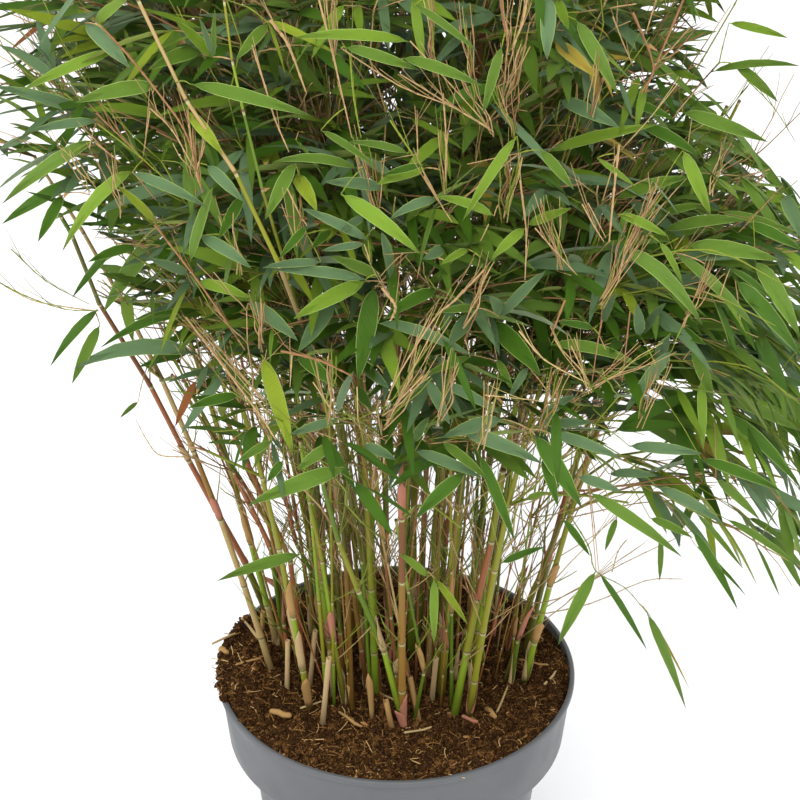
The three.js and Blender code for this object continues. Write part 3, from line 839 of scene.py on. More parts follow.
heap = Heap()
turns = np.arange(STUB_SIDES) * 2 * math.pi / STUB_SIDES
for across, down, radius, length in STUBS:
    foot = on_compost(across, down)
    lean = heading(math.radians(between(random, 1, 11)), between(random, 0, 2 * math.pi))
    line = [foot - lean * CANE_SINK]
    line += [foot + lean * up for up in (length * 0.4, length - 1, length, length, length - 9)]
    # The torn edge is the same outside and inside. The third row isn't used, but its numbers are
    # drawn so that every later one is the same.
    split, torn, _ = [[1.6 * (random() - 0.5) for _ in turns] for _ in range(3)]
    even = [0] * STUB_SIDES
    points = []
    for place, width, ups in zip(line, STUB_WIDTHS, (even, even, split, torn, torn, even)):
        width *= radius * CANE_SHOWN
        for turn, up in zip(turns, ups):
            points.append((place.x + width * math.cos(turn), place.y + width * math.sin(turn), place.z + up))
    rings = range(0, len(points), STUB_SIDES)
    faces = [list(reversed(range(STUB_SIDES)))]
    for ring in rings[:-1]:
        faces += band(ring, ring + STUB_SIDES, STUB_SIDES)
    faces.append([rings[-1] + side for side in range(STUB_SIDES)])
    heap.add(points, faces, [int(random() * 2) * 2] * len(faces))
piece = heap.piece("cut_stubs", husks)
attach(piece, "root")

# Litter. Broken stalks, dry straps of sheath and chips of bark that have dropped on the compost
# and lie across one another, each from one end to the other in the picture, with its half width.
LITTER = [
    (242, 628, 263, 650, 1.3, 2), (271, 717, 291, 722, 2.6, 0), (221, 661, 229, 666, 2.2, 0),
    (487, 707, 496, 717, 2.4, 0), (497, 712, 511, 677, 0.9, 2), (434, 645, 474, 627, 1.5, 1),
    (213, 656, 236, 645, 0.9, 2), (338, 712, 362, 726, 1.2, 0), (300, 708, 322, 700, 0.8, 2),
    (376, 690, 398, 700, 0.9, 2), (520, 664, 548, 672, 0.8, 0), (236, 676, 262, 668, 0.9, 0),
    (404, 732, 432, 726, 1.0, 2), (462, 716, 478, 722, 1.3, 1), (544, 690, 556, 676, 1.0, 2),
]
SPILL_TOP = 217
heap = Heap()
for from_x, from_y, to_x, to_y, thick, slot in LITTER:
    ends = [on_compost(from_x, from_y), on_compost(to_x, to_y)]
    line = [ends[0].lerp(ends[1], share) for share in (0, 0.04, 0.35, 0.7, 0.96, 1)]
    for place in line:
        is_on_lip = math.hypot(place.x, place.y) > compost_radius - 2
        place.z = max(SPILL_TOP if is_on_lip else 0, compost_height(place.x, place.y))
        place.z += 0.7 * thick + 1.2
    middle = 0.5 * (line[0].z + line[-1].z)
    for place in line:
        place.z += 0.6 * (middle - place.z)
        place += Vector((random() - 0.5, random() - 0.5, 0)) * 0.7 * thick
    widths = [share * thick * vary(random, 0.25) for share in (0.5, 1, 0.9, 1, 0.8, 0.4)]
    tube(heap, line, widths, 6, [slot] * 5)
STRAP = ((263, 577, 44), (272, 582, 42), (282, 592, 40))
tube(heap, [seen_at(*spot) for spot in STRAP], [1.0, 2.4, 1.2], 6, [1, 1])
piece = heap.piece("litter", husks)
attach(piece, "root")

# Stems, branches and twigs of the foliage. Each cane carries on as a stem inside its mass of
# leaves. From each joint a whorl of thin jointed branches fans outwards and droops, and short
# leafy shoots leave the branches at either side in turn.
GOLDEN_SHARE = (math.sqrt(5) - 1) / 2
FAN_STRAY = 0.3
FOLIAGE_SEED = 50
CROWN = {"radius": 335, "widest": 450, "height": 1190, "roundness": 0.6}
SKIRT = dict(leaves_at=4, low_side=0.6, seed=500, rise=50, fall=24, low_fall=50, joints=3, internode=44)
SKIRT_STEM = {"radius": 1.1, "slimming": 0.35, "fan": 90}
SKIRT_STRAYS = {"side": 0.45, "tilt": 0.06, "internode": 0.12}


def crown_stem(cane):
    ring = cane["ring"]
    seed = ring["seed"] + FOLIAGE_SEED + cane["index"]
    points = cane["joints"][ring["enters"] :]
    return {"group": cane["group"], "seed": seed, "points": points, "turn": cane["turn"], "fan": ring["fan"]}


def skirt_stem(cane):
    random = seeded(SKIRT["seed"] + cane["index"])
    turn = cane["turn"] + SKIRT_STRAYS["side"] * (2 * random() - 1)
    hangs = math.cos(cane["turn"]) > SKIRT["low_side"]
    fall = SKIRT["low_fall"] if hangs else SKIRT["fall"]
    points = [cane["joints"][SKIRT["leaves_at"] - (1 if hangs else 0)]]
    for step in range(SKIRT["joints"]):
        tilt = math.radians(SKIRT["rise"] + fall * step / (SKIRT["joints"] - 1))
        spacing = SKIRT["internode"] * vary(random, SKIRT_STRAYS["internode"])
        points.append(points[-1] + heading(tilt * vary(random, SKIRT_STRAYS["tilt"]), turn) * spacing)
    slimmed = [1 - SKIRT_STEM["slimming"] * step / SKIRT["joints"] for step in range(len(points))]
    radii = [SKIRT_STEM["radius"] * share for share in slimmed]
    seed = SKIRT["seed"] + FOLIAGE_SEED + cane["index"]
    fan = SKIRT_STEM["fan"]
    return {"group": "skirt", "seed": seed, "points": points, "radii": radii, "turn": turn, "fan": fan}


def clump_reach(point):
    """How far a point is from the upright line through the middle of the clump."""
    return math.hypot(point.x - CLUMP["x"], point.y - CLUMP["y"])


def crown_radius(height):
    share = max(0, height - CROWN["widest"]) / (CROWN["height"] - CROWN["widest"])
    return CROWN["radius"] * max(0, 1 - share**2) ** CROWN["roundness"]


HEM = {"height": 364, "front": 0.56, "back": 20, "left": 0.7, "right": 0.27, "ragged": 26, "tuft": 46}


def foliage_foot(x, y):
    """Lowest height of the leaves: they hang lowest at the right and stop higher at the front."""
    sideways = HEM["left"] * max(0, -x - 110) - HEM["right"] * min(230, max(-110, x))
    ragged = HEM["ragged"] * noise.noise(Vector((x, y, 0)) / HEM["tuft"])
    return HEM["height"] + HEM["front"] * max(0, -y) - HEM["back"] * ease(y, 60, 200) + sideways + ragged


BOX_MARGIN = 2
box_low, box_high = (np.array(corner) / MM for corner in cad_box)


def in_box(point):
    return all(low + BOX_MARGIN < at < high - BOX_MARGIN for low, at, high in zip(box_low, point, box_high))


# The crown is slimmer at the left below, and at the right above. At the right its height is counted
# as the camera sees it, from above, so that what lies further back counts as higher.
LEFT_CUT = 115
RIGHT_CUT = 100
SEEN_SLOPE = 0.44


def is_inside(point, kept_back):
    """Whether a point is inside the solids' box and the crown's outline, drawn in by so much."""
    at_left, at_right = ease(-point.x, 40, 180), ease(point.x, 60, 200)
    drawn_in = kept_back + at_left * (LEFT_CUT * ease(690 - point.z, 0, 80) + 0.5 * max(0, 560 - point.z))
    seen_height = point.z + SEEN_SLOPE * point.y
    drawn_in += RIGHT_CUT * at_right * ease(seen_height, 520, 700) * (1 - 0.6 * ease(seen_height, 715, 790))
    if clump_reach(point) > crown_radius(point.z) - drawn_in:
        return False
    return point.z > foliage_foot(point.x, point.y) and in_box(point)


def has_room(point):
    """At the front the outermost leaves are placed one by one, so the others keep behind them."""
    return is_inside(point, 20 * ease(-point.y, 60, 220))


def fullness(point):
    """Share of the shoots that bear leaves: few at the hem and in the outermost shell."""
    above_foot = point.z - foliage_foot(point.x, point.y)
    inside = crown_radius(point.z) - clump_reach(point)
    shell = 80 + 0.3 * max(0, point.z - 600)
    share = min(0.08 + 0.77 * ease(above_foot, 5, 215), 0.2 + 0.65 * ease(inside, 5, shell))
    thinned = 0.42 * ease(point.x, 110, 240) * ease(point.z, 630, 730)
    thinned += 0.45 * ease(-point.x, 90, 200) * ease(640 - point.z, 0, 150)
    return share * (1 - thinned)


CLEARING = {"radius": 112, "widening": 0.27}


def is_by_canes(point):
    """Whether a point is in the open space round the bare canes, which widens upwards."""
    radius = CLEARING["radius"] + CLEARING["widening"] * (point.z - COMPOST["top"])
    return math.hypot(point.x, point.y) <= radius


BRANCHES_AT_JOINT = {"outer": 5, "middle": 4, "inner": 3, "skirt": 3}
BRANCHES_AT_TIP = 4
YOUNG_SHARE = 0.7
BRANCH = dict(length=(66, 146), spread=(22, 66), nodes=4, droop=0.1, zigzag=9, radius=(0.8, 0.42))
SHOOT = dict(length=(16, 38), splay=(25, 70), droop=0.3, radius=(0.42, 0.3), leaves=(1, 3))
LEAF = dict(length=(28, 66), slim=0.145, splay=(14, 56), outward=0.3, hang=(-0.34, 0.44))
BLADE = dict(bend=(0.04, 0.62), roll=46, twist=40, fold=(0.1, 0.44))
# Twigs are green where they are young, and tan to brown where they have ripened.
TWIG_TONES = {"green": "#78832f", "tan": "#a98b60", "brown": "#8d6845", "dry": "#b39c68"}
LEAF_TONES = {
    "deep": ("#4e761e", "#748d46", 0.24),
    "mid": ("#6a8c2e", "#8b9d50", 0.3),
    "fresh": ("#82a430", "#9db258", 0.26),
    "lime": ("#9cb134", "#acbc5c", 0.16),
    "yellow": ("#c0aa4a", "#c0ae60", 0.16),
    # The bluish tone is partly the real bluish grey-green of some blades and partly painted sheen: its
    # colours above and below are made paler to stand for the light that the blades' gloss gives back.
    "blue": ("#6e8e5e", "#98ac82", 0.42),
    "dry": ("#a8683c", "#a4714c", 0.1),
}
TONE_SHARES = dict(deep=0.28, mid=0.33, fresh=0.15, lime=0.03, yellow=0.004, dry=0.003, blue=0.203)


def drawn_tone(random):
    left = random()
    for name, share in TONE_SHARES.items():
        left -= share
        if left < 0:
            return name
    return "deep"


def stem_direction(points, at):
    return (points[min(len(points) - 1, at + 1)] - points[max(0, at - 1)]).normalized()


def turned_aside(along, degrees):
    return Matrix.Rotation(math.radians(degrees), 3, "Z") @ along


def pulled_down(along, pull):
    return (along.normalized() - UP * pull).normalized()


def leaned(onward, aside, degrees):
    angle = math.radians(degrees)
    return (onward * math.cos(angle) + aside * math.sin(angle)).normalized()


def outward(place):
    """Level direction away from the middle of the clump."""
    return Vector((place.x - CLUMP["x"], place.y - CLUMP["y"], 0)).normalized()


twig_lines = []
leaf_rows = []


def add_leaf(group, root, along, length, tone, random):
    """One leaf, if its tip has room. It is tried again shorter and hanging more."""
    for pull, share in ((0, 1), (0.35, 0.86), (0.9, 0.8)):
        hung = pulled_down(along, pull)
        bend = BLADE["bend"][0] + (BLADE["bend"][1] - BLADE["bend"][0]) * random() ** 1.5
        reach = length * share
        tip = root + hung * reach - UP * (bend * reach / 2)
        if not has_room(tip):
            continue
        leaf = dict(group=group, root=root - hung * 0.8, along=hung, length=reach, bend=bend, tone=tone)
        leaf["width"] = reach * LEAF["slim"] * vary(random, 0.14)
        leaf["roll"] = math.radians(BLADE["roll"]) * (2 * random() - 1)
        leaf["twist"] = math.radians(BLADE["twist"]) * (2 * random() - 1)
        leaf["fold"] = between(random, *BLADE["fold"])
        leaf["is_scorched"] = random() < 0.02
        leaf_rows.append(leaf)
        return True
    return False


def grow_shoot(group, root, along, random, tone, is_front=False):
    """A leafy shoot: a short drooping twig with leaves at either side in turn, and one at its tip."""
    half = between(random, *SHOOT["length"]) / 2
    onward = pulled_down(along, SHOOT["droop"] * random())
    middle = root + along * half
    end = middle + onward * half
    if not has_room(end):
        return 0
    if not is_front and random() > fullness(end):
        colour = "dry" if random() < 0.6 else "tan"
        twig_lines.append((group, [root, middle, end], SHOOT["radius"], 3, colour))
        return 0
    low, high = SHOOT["leaves"]
    count = low + int(random() * (high - low + 1))
    side = 1 if random() < 0.5 else -1
    grown = 0
    for seated in range(count):
        share = (seated + 1.4) / (count + 0.4)
        seat = root.lerp(middle, 2 * share) if share < 0.5 else middle.lerp(end, 2 * share - 1)
        splay = between(random, *LEAF["splay"]) * side
        hang = between(random, *LEAF["hang"]) + 0.35 * ease(seat.x, 120, 260)
        leaf_along = pulled_down(turned_aside(onward, splay) + outward(seat) * LEAF["outward"], hang)
        leaf_length = between(random, *LEAF["length"]) * (0.72 + 0.28 * share)
        grown += add_leaf(group, seat, leaf_along, leaf_length, tone, random)
        side = -side
    leaf_along = pulled_down(onward + outward(end) * LEAF["outward"], 0.6 * between(random, *LEAF["hang"]))
    grown += add_leaf(group, end, leaf_along, between(random, *LEAF["length"]), tone, random)
    if grown:
        colour = "green" if random() < 0.6 else "tan"
        twig_lines.append((group, [root, middle, end], SHOOT["radius"], 3, colour))
    return grown


def grow_branchlet(group, root, along, length, thickness, colour, random):
    """A leafless wiry twig, bent a little to either side at each joint."""
    nodes = [root]
    side = 1 if random() < 0.5 else -1
    for _ in range(4):
        along = (turned_aside(along, side * 12) + UP * 0.05).normalized()
        nodes.append(nodes[-1] + along * (length / 4))
        side = -side
    if in_box(nodes[-1]):
        twig_lines.append((group, nodes, (thickness, 0.55 * thickness), 3, colour))
    return nodes


def grow_fork(group, nodes, at, degrees, length, thickness, colour, random):
    """A shorter twig that leaves another at one of its joints."""
    onward = turned_aside(stem_direction(nodes, at), degrees)
    grow_branchlet(group, nodes[at], onward, length, thickness, colour, random)


TONE_CHANGE = 0.35
BARE_HEM = 520


def grow_branch(group, root, along, length, random):
    """A thin branch of a few internodes that carries shoots at its nodes and its tip."""
    nodes = [root]
    side = 1 if random() < 0.5 else -1
    for _ in range(BRANCH["nodes"]):
        along = pulled_down(turned_aside(along, side * BRANCH["zigzag"]), BRANCH["droop"] * random())
        nodes.append(nodes[-1] + along * (length / BRANCH["nodes"]))
        side = -side
    while len(nodes) > 2 and not has_room(nodes[-1]):
        nodes.pop()
    if not has_room(nodes[-1]):
        return False
    colour = pick(random, "green", "tan", "brown")
    start = len(twig_lines)
    twig_lines.append((group, nodes, BRANCH["radius"], 5, colour))
    tone = drawn_tone(random)
    leaves = 0
    for at in range(1, len(nodes)):
        onward = stem_direction(nodes, at)
        # This number isn't used. It stays so that every later one is the same.
        random()
        if at < len(nodes) - 1:
            onward = turned_aside(onward, side * between(random, *SHOOT["splay"]))
            side = -side
        leaves += grow_shoot(group, nodes[at], onward, random, tone)
        if random() < TONE_CHANGE:
            tone = drawn_tone(random)
    if leaves < 3 and not is_by_canes(nodes[-1]) and nodes[-1].z < BARE_HEM:
        del twig_lines[start:]
    return True


def grow_mass(stem, share=1.0):
    """The branches of one stem, fanned outwards from each of its joints."""
    random = seeded(stem["seed"] + 7000)
    points = stem["points"]
    last = len(points) - 1
    for joint in range(0 if stem["group"] != "skirt" else 1, last + 1):
        onward = stem_direction(points, joint)
        wanted = BRANCHES_AT_JOINT[stem["group"]] if joint < last else BRANCHES_AT_TIP
        wanted = max(1, round(wanted * share))
        attempt = grown = 0
        while grown < wanted and attempt < 4 * wanted:
            place = joint * 5 + attempt
            attempt += 1
            across = 2 * ((place * GOLDEN_SHARE + FAN_STRAY * random()) % 1) - 1
            aside = heading(LEVEL, stem["turn"] + math.radians(stem["fan"]) * across)
            along = leaned(onward, aside, between(random, *BRANCH["spread"]))
            length = between(random, *BRANCH["length"]) * (1 if attempt <= wanted else 0.6)
            grown += grow_branch(stem["group"], points[joint], along, length, random)
        if grown:
            stem["reach"] = joint


stems = [crown_stem(cane) for cane in canes]
skirt_stems = [skirt_stem(cane) for cane in canes if cane["group"] == "outer"]
young_stems = [crown_stem(cane) for cane in young_canes]
for stem in stems + skirt_stems:
    grow_mass(stem)
for stem in young_stems:
    grow_mass(stem, YOUNG_SHARE)

# Wands. Slender side stems that leave the outer canes low down and lean out all the way to the
# surface of the crown, with a leafy shoot or a bare fork at most of their joints.
WAND = dict(count=84, joint=(3, 6), length=(170, 560), inset=(4, 60), internode=34, sway=0.3, waver=8)
WAND_RADIUS = (0.8, 0.36)
WAND_LEAFY = 0.375
random = seeded(808)
outer_canes = [cane for cane in canes + young_canes if cane["group"] == "outer"]
for index in range(WAND["count"]):
    turn = 2 * math.pi * ((index * GOLDEN_SHARE) % 1)
    gaps = [abs(math.remainder(cane["turn"] - turn, 2 * math.pi)) + 0.15 * random() for cane in outer_canes]
    cane = outer_canes[gaps.index(min(gaps))]
    low, high = WAND["joint"]
    start = cane["joints"][low + int(random() * (high - low + 1))]
    top = min(1000, start.z + between(random, *WAND["length"]))
    inset = between(random, *WAND["inset"])
    sway = WAND["sway"] * (2 * random() - 1)
    first_out = clump_reach(start)
    first_turn = math.atan2(start.y - CLUMP["y"], start.x - CLUMP["x"])
    drift = math.remainder(turn - first_turn, 2 * math.pi)
    count = max(4, round((top - start.z) / WAND["internode"]))
    nodes = [start]
    for step in range(1, count + 1):
        height = start.z + (top - start.z) * step / count
        share = (step / count) ** 0.9
        out = first_out + (crown_radius(top) - inset - first_out) * share
        at_turn = first_turn + drift * share + sway * step / count
        node = Vector((CLUMP["x"] + out * math.cos(at_turn), CLUMP["y"] + out * math.sin(at_turn), height))
        if not has_room(node) and height > 480:
            break
        nodes.append(node + Vector((random() - 0.5, random() - 0.5, 0)) * 2 * WAND["waver"])
    if len(nodes) < 6:
        continue
    colour = pick(random, "green", "tan", "green", "dry")
    twig_lines.append(("outer", nodes, WAND_RADIUS, 5, colour))
    tone = drawn_tone(random)
    for at in range(2, len(nodes)):
        for side in (-1, 1):
            along = turned_aside(outward(nodes[at]), side * between(random, 20, 85))
            if random() < WAND_LEAFY:
                along = (along + UP * between(random, -0.1, 0.9)).normalized()
                grow_shoot("outer", nodes[at], along, random, tone, is_front=True)
            elif random() < 0.6:
                along = (along * 0.55 + stem_direction(nodes, at)).normalized()
                length = between(random, 26, 80)
                forked = grow_branchlet("outer", nodes[at], along, length, 0.5, colour, random)
                grow_fork("outer", forked, 2, side * 40, 0.5 * length, 0.34, colour, random)
        if random() < TONE_CHANGE:
            tone = drawn_tone(random)

# Bunches of leafless twigs. Where leaves have dropped, a few thin tan twigs stand close together
# and steeply, forked once or twice, at the joints of the stems and of the branches.
random = seeded(303)
seats = []
for stem in stems + young_stems:
    if stem["group"] != "inner":
        for joint in range(len(stem["points"])):
            onward = stem_direction(stem["points"], joint)
            seats.append((0.62, stem["group"], stem["points"][joint], onward, stem["turn"], (40, 110)))
for group, nodes, _, sides, _ in twig_lines:
    if sides == 5 and len(nodes) > 2 and group != "inner":
        onward = (stem_direction(nodes, 1) * 0.6 + UP).normalized()
        turn = math.atan2(nodes[1].y - CLUMP["y"], nodes[1].x - CLUMP["x"])
        seats.append((0.18, group, nodes[1], onward, turn, (30, 84)))
for share, group, place, onward, turn, lengths in seats:
    if random() > share or place.z > 980 or place.z < 440:
        continue
    for _ in range(3 + int(random() * 4)):
        aside = heading(LEVEL, turn + between(random, -1.5, 1.5))
        along = leaned(onward, aside, between(random, 8, 35))
        length = between(random, *lengths)
        if not has_room(place + along * length):
            continue
        colour = pick(random, "tan", "dry", "tan", "brown", "tan")
        nodes = grow_branchlet(group, place, along, length, between(random, 0.38, 0.66), colour, random)
        if random() < 0.4:
            grow_fork(group, nodes, 2, between(random, -40, 40), 0.45 * length, 0.3, colour, random)

# At the right a loose fan of long thin twigs leans out of the lower joints.
for cane in canes + young_canes:
    turn = math.degrees(math.remainder(cane["turn"], 2 * math.pi))
    if cane["group"] != "outer" or not -75 < turn < 40:
        continue
    for joint in range(1, 5):
        if random() < 0.6:
            continue
        tilt = math.radians(between(random, 34, 62))
        along = heading(tilt, math.radians(turn + between(random, -30, 25)))
        colour = pick(random, "tan", "dry")
        length = between(random, 80, 165)
        nodes = grow_branchlet("outer", cane["joints"][joint], along, length, 0.55, colour, random)
        for fork in (2, 3):
            degrees = between(random, -32, 32)
            grow_fork("outer", nodes, fork, degrees, 0.35 * length, 0.3, colour, random)

# Leaves below the crown that can be told apart, each from its stalk to its tip in the picture,
# with its depth, the width of its blade in the picture and its tone.
NOTED_LEAVES = [
    (301, 554, 217, 581, -92, 13, "mid"), (346, 468, 248, 505, -110, 18, "mid"),
    (262, 355, 293, 456, -150, 18, "lime"), (465, 473, 415, 519, -135, 15, "deep"),
    (415, 451, 482, 478, -140, 12, "blue"), (442, 442, 489, 481, -150, 11, "mid"),
    (460, 430, 543, 464, -165, 15, "blue"), (479, 454, 515, 541, -150, 12, "deep"),
    (434, 578, 434, 645, -110, 9, "fresh"), (436, 579, 468, 625, -105, 8, "lime"),
    (272, 441, 237, 462, -60, 9, "mid"), (331, 446, 297, 470, -120, 13, "mid"),
    (337, 420, 289, 435, -140, 10, "blue"), (364, 445, 396, 460, -135, 11, "blue"),
    (502, 419, 441, 438, -175, 15, "blue"), (427, 380, 450, 425, -190, 12, "blue"),
    (239, 395, 188, 408, -60, 11, "deep"), (535, 435, 582, 508, -140, 18, "deep"),
    (589, 492, 682, 557, -110, 13, "mid"), (596, 571, 558, 645, -100, 13, "mid"),
    (599, 573, 647, 650, -95, 7, "deep"), (647, 613, 686, 709, -80, 11, "mid"),
    (650, 616, 690, 690, -76, 3, "yellow"), (692, 530, 738, 610, -70, 11, "deep"),
    (701, 380, 703, 451, -190, 10, "fresh"), (696, 513, 743, 569, -60, 6, "mid"),
    (726, 519, 800, 568, -60, 8, "mid"), (695, 545, 747, 597, -66, 5, "deep"),
    (757, 546, 780, 597, -50, 4, "mid"), (563, 519, 590, 556, -110, 8, "deep"),
    (617, 518, 605, 551, -100, 7, "mid"), (650, 518, 693, 538, -90, 9, "mid"),
    (578, 477, 622, 492, -120, 11, "blue"), (629, 446, 703, 454, -150, 13, "blue"),
    (550, 433, 622, 459, -150, 12, "blue"), (701, 459, 783, 492, -120, 12, "deep"),
    (716, 479, 760, 520, -100, 10, "mid"), (502, 563, 545, 547, -120, 8, "deep"),
    (428, 577, 399, 553, -108, 8, "fresh"), (283, 461, 267, 482, -100, 9, "deep"),
    (138, 402, 120, 418, -60, 5, "mid"),
]

# Leaves on the face of the crown, each from its stalk to its tip in the picture, with the width of
# its blade there, how much it arches, and its tone. The crown's own outline gives their depth.
CROWN_LEAVES = [
    (117, 50, 20, 92, 13, 0.25, "fresh"), (158, 86, 75, 103, 16, 0.4, "mid"),
    (97, 117, -8, 86, 14, 0.2, "blue"), (97, 121, 30, 131, 10, 0.2, "blue"),
    (96, 140, 2, 204, 16, 0.4, "mid"), (84, 178, 2, 224, 15, 0.3, "deep"),
    (132, 172, 62, 252, 15, 0.9, "fresh"), (63, 195, 38, 242, 12, 0.2, "deep"),
    (157, 224, 117, 185, 10, 0.1, "lime"), (132, 173, 207, 207, 12, 0.2, "blue"),
    (190, 262, 213, 186, 13, 0.1, "mid"), (160, 232, 103, 313, 19, 0.3, "mid"),
    (136, 247, 88, 262, 11, 0.3, "deep"), (189, 274, 149, 259, 10, 0.1, "blue"),
    (118, 244, 72, 298, 9, 0.3, "deep"), (98, 310, 50, 367, 11, 0.5, "deep"),
    (100, 325, 72, 384, 12, 0.2, "mid"), (196, 354, 74, 369, 17, 1, "blue"),
    (200, 310, 100, 348, 11, 0.7, "deep"), (188, 354, 137, 368, 8, 0.3, "deep"),
    (197, 282, 251, 298, 12, 0.2, "fresh"), (249, 302, 298, 341, 15, 0.2, "blue"),
    (333, 303, 298, 352, 17, 0.1, "blue"), (366, 281, 293, 319, 16, 0.2, "fresh"),
    (374, 286, 358, 381, 20, 0.1, "deep"), (365, 280, 272, 270, 12, 0.3, "blue"),
    (321, 262, 262, 268, 9, 0.2, "blue"), (380, 277, 330, 256, 12, 0.1, "mid"),
    (200, 236, 252, 269, 13, 0.3, "blue"), (295, 163, 265, 220, 14, 0.2, "mid"),
    (358, 169, 271, 163, 10, 0.8, "mid"), (321, 130, 377, 168, 8, 0.2, "mid"),
    (408, 153, 347, 142, 8, 0.4, "mid"), (426, 168, 376, 185, 13, 0.2, "fresh"),
    (422, 165, 381, 176, 8, 0.1, "deep"), (385, 189, 324, 182, 13, 0.2, "blue"),
    (341, 194, 421, 255, 16, 0.3, "fresh"), (436, 199, 389, 220, 11, 0.5, "blue"),
    (494, 216, 436, 197, 11, 0.5, "fresh"), (368, 240, 301, 208, 11, 0.2, "blue"),
    (364, 217, 339, 232, 9, 0.1, "blue"), (391, 281, 381, 231, 15, 0.1, "blue"),
    (364, 241, 372, 265, 9, 0.1, "mid"), (364, 244, 321, 251, 8, 0.1, "blue"),
    (331, 230, 311, 249, 9, 0.1, "deep"), (307, 226, 279, 259, 9, 0.1, "deep"),
    (296, 175, 317, 212, 15, 0.1, "lime"), (436, 290, 384, 320, 14, 0.3, "deep"),
    (443, 249, 423, 259, 12, 0.1, "blue"), (468, 249, 440, 265, 8, 0.1, "fresh"),
    (243, 196, 218, 239, 12, 0.1, "deep"), (207, 165, 244, 202, 12, 0.1, "blue"),
    (213, 58, 175, 20, 12, 0.1, "fresh"), (213, 57, 199, 17, 8, 0.1, "blue"),
    (214, 57, 215, 8, 7, 0.05, "mid"), (200, 52, 148, 70, 15, 0.5, "mid"), (268, 24, 236, 60, 12, 0.1, "mid"),
    (95, 22, 131, -4, 12, 0.1, "fresh"), (85, 23, 130, 68, 16, 0.1, "blue"),
    (190, 84, 312, 116, 14, 0.2, "mid"), (188, 111, 223, 155, 13, 0.1, "lime"),
    (410, 42, 293, 38, 12, 0.4, "fresh"), (345, 47, 420, 70, 12, 0.1, "mid"),
    (402, 58, 482, 86, 12, 0.3, "mid"), (415, 5, 478, 52, 9, 0.2, "mid"), (502, 46, 483, 113, 11, 0.1, "mid"),
    (549, -4, 547, 60, 16, 0.05, "blue"), (557, 0, 569, 30, 11, 0.05, "fresh"),
    (576, 20, 618, 95, 15, 0.2, "mid"), (555, 42, 597, 78, 15, 0.1, "yellow"),
    (658, 70, 701, 79, 9, 0.2, "fresh"), (627, 101, 675, 120, 10, 0.2, "deep"),
    (682, 112, 768, 142, 14, 0.2, "mid"), (712, 72, 800, 66, 9, 0.5, "mid"),
    (734, 64, 778, 102, 11, 0.3, "mid"), (729, 23, 788, 38, 9, 0.2, "fresh"),
    (540, 150, 574, 190, 11, 0.2, "mid"), (560, 100, 620, 128, 15, 0.2, "blue"),
    (640, 125, 699, 155, 13, 0.3, "deep"), (683, 150, 711, 216, 14, 0.1, "fresh"),
    (548, 152, 657, 125, 13, 0.2, "fresh"), (617, 198, 690, 177, 14, 0.3, "mid"),
    (597, 158, 637, 188, 6, 0.1, "fresh"), (517, 136, 462, 222, 12, 0.2, "fresh"),
    (528, 225, 572, 208, 10, 0.2, "fresh"), (525, 228, 491, 260, 11, 0.2, "fresh"),
    (617, 214, 669, 237, 10, 0.3, "fresh"), (661, 215, 705, 206, 9, 0.4, "mid"),
    (664, 231, 748, 221, 12, 0.6, "mid"), (687, 245, 781, 261, 16, 0.3, "mid"),
    (623, 250, 703, 326, 16, 0.9, "mid"), (659, 242, 683, 285, 7, 0.7, "fresh"),
    (675, 253, 758, 332, 12, 0.4, "mid"), (755, 261, 800, 337, 18, 0.4, "mid"),
    (735, 280, 800, 355, 17, 0.3, "deep"), (730, 269, 773, 301, 7, 0.5, "deep"),
    (784, 195, 802, 240, 15, 0.2, "blue"), (746, 223, 802, 250, 12, 0.3, "deep"),
    (719, 212, 800, 235, 9, 0.3, "mid"), (500, 317, 546, 271, 14, 0.1, "blue"),
    (501, 314, 489, 296, 12, 0.1, "blue"), (491, 321, 541, 376, 20, 0.2, "deep"),
    (528, 367, 509, 398, 8, 0.1, "blue"), (497, 359, 513, 391, 8, 0.1, "mid"),
    (551, 345, 640, 366, 12, 0.7, "mid"), (593, 328, 557, 322, 8, 0.1, "deep"),
    (602, 322, 617, 293, 12, 0.1, "blue"), (657, 322, 706, 345, 14, 0.2, "deep"),
    (643, 334, 666, 303, 13, 0.1, "blue"), (640, 336, 637, 303, 11, 0.1, "blue"),
    (657, 366, 670, 335, 15, 0.1, "blue"), (672, 350, 624, 414, 14, 0.2, "blue"),
    (693, 348, 714, 402, 13, 0.2, "mid"), (743, 362, 769, 380, 12, 0.2, "blue"),
    (378, 323, 472, 356, 13, 0.5, "blue"), (297, 355, 338, 388, 14, 0.2, "deep"),
    (337, 412, 354, 371, 12, 0.1, "blue"), (364, 368, 389, 388, 11, 0.1, "blue"),
    (355, 387, 372, 410, 11, 0.1, "deep"), (470, 357, 424, 376, 9, 0.2, "mid"),
    (443, 384, 500, 414, 11, 0.4, "blue"), (403, 402, 427, 387, 9, 0.1, "deep"),
    (413, 442, 429, 417, 10, 0.1, "deep"), (471, 315, 448, 347, 15, 0.1, "blue"),
    (478, 308, 440, 312, 9, 0.2, "mid"), (536, 432, 577, 396, 13, 0.6, "blue"),
    (548, 425, 594, 422, 10, 0.2, "blue"), (724, 413, 800, 487, 15, 0.4, "deep"),
    (729, 400, 800, 431, 13, 0.3, "mid"), (772, 410, 802, 443, 11, 0.2, "deep"),
    (783, 502, 802, 540, 13, 0.2, "mid"), (609, 474, 657, 476, 10, 0.3, "blue"),
    (657, 487, 724, 524, 12, 0.3, "blue"), (543, 456, 558, 507, 11, 0.1, "deep"),
    (527, 499, 548, 492, 7, 0.1, "fresh"), (197, 380, 175, 427, 9, 0.2, "dry"),
]

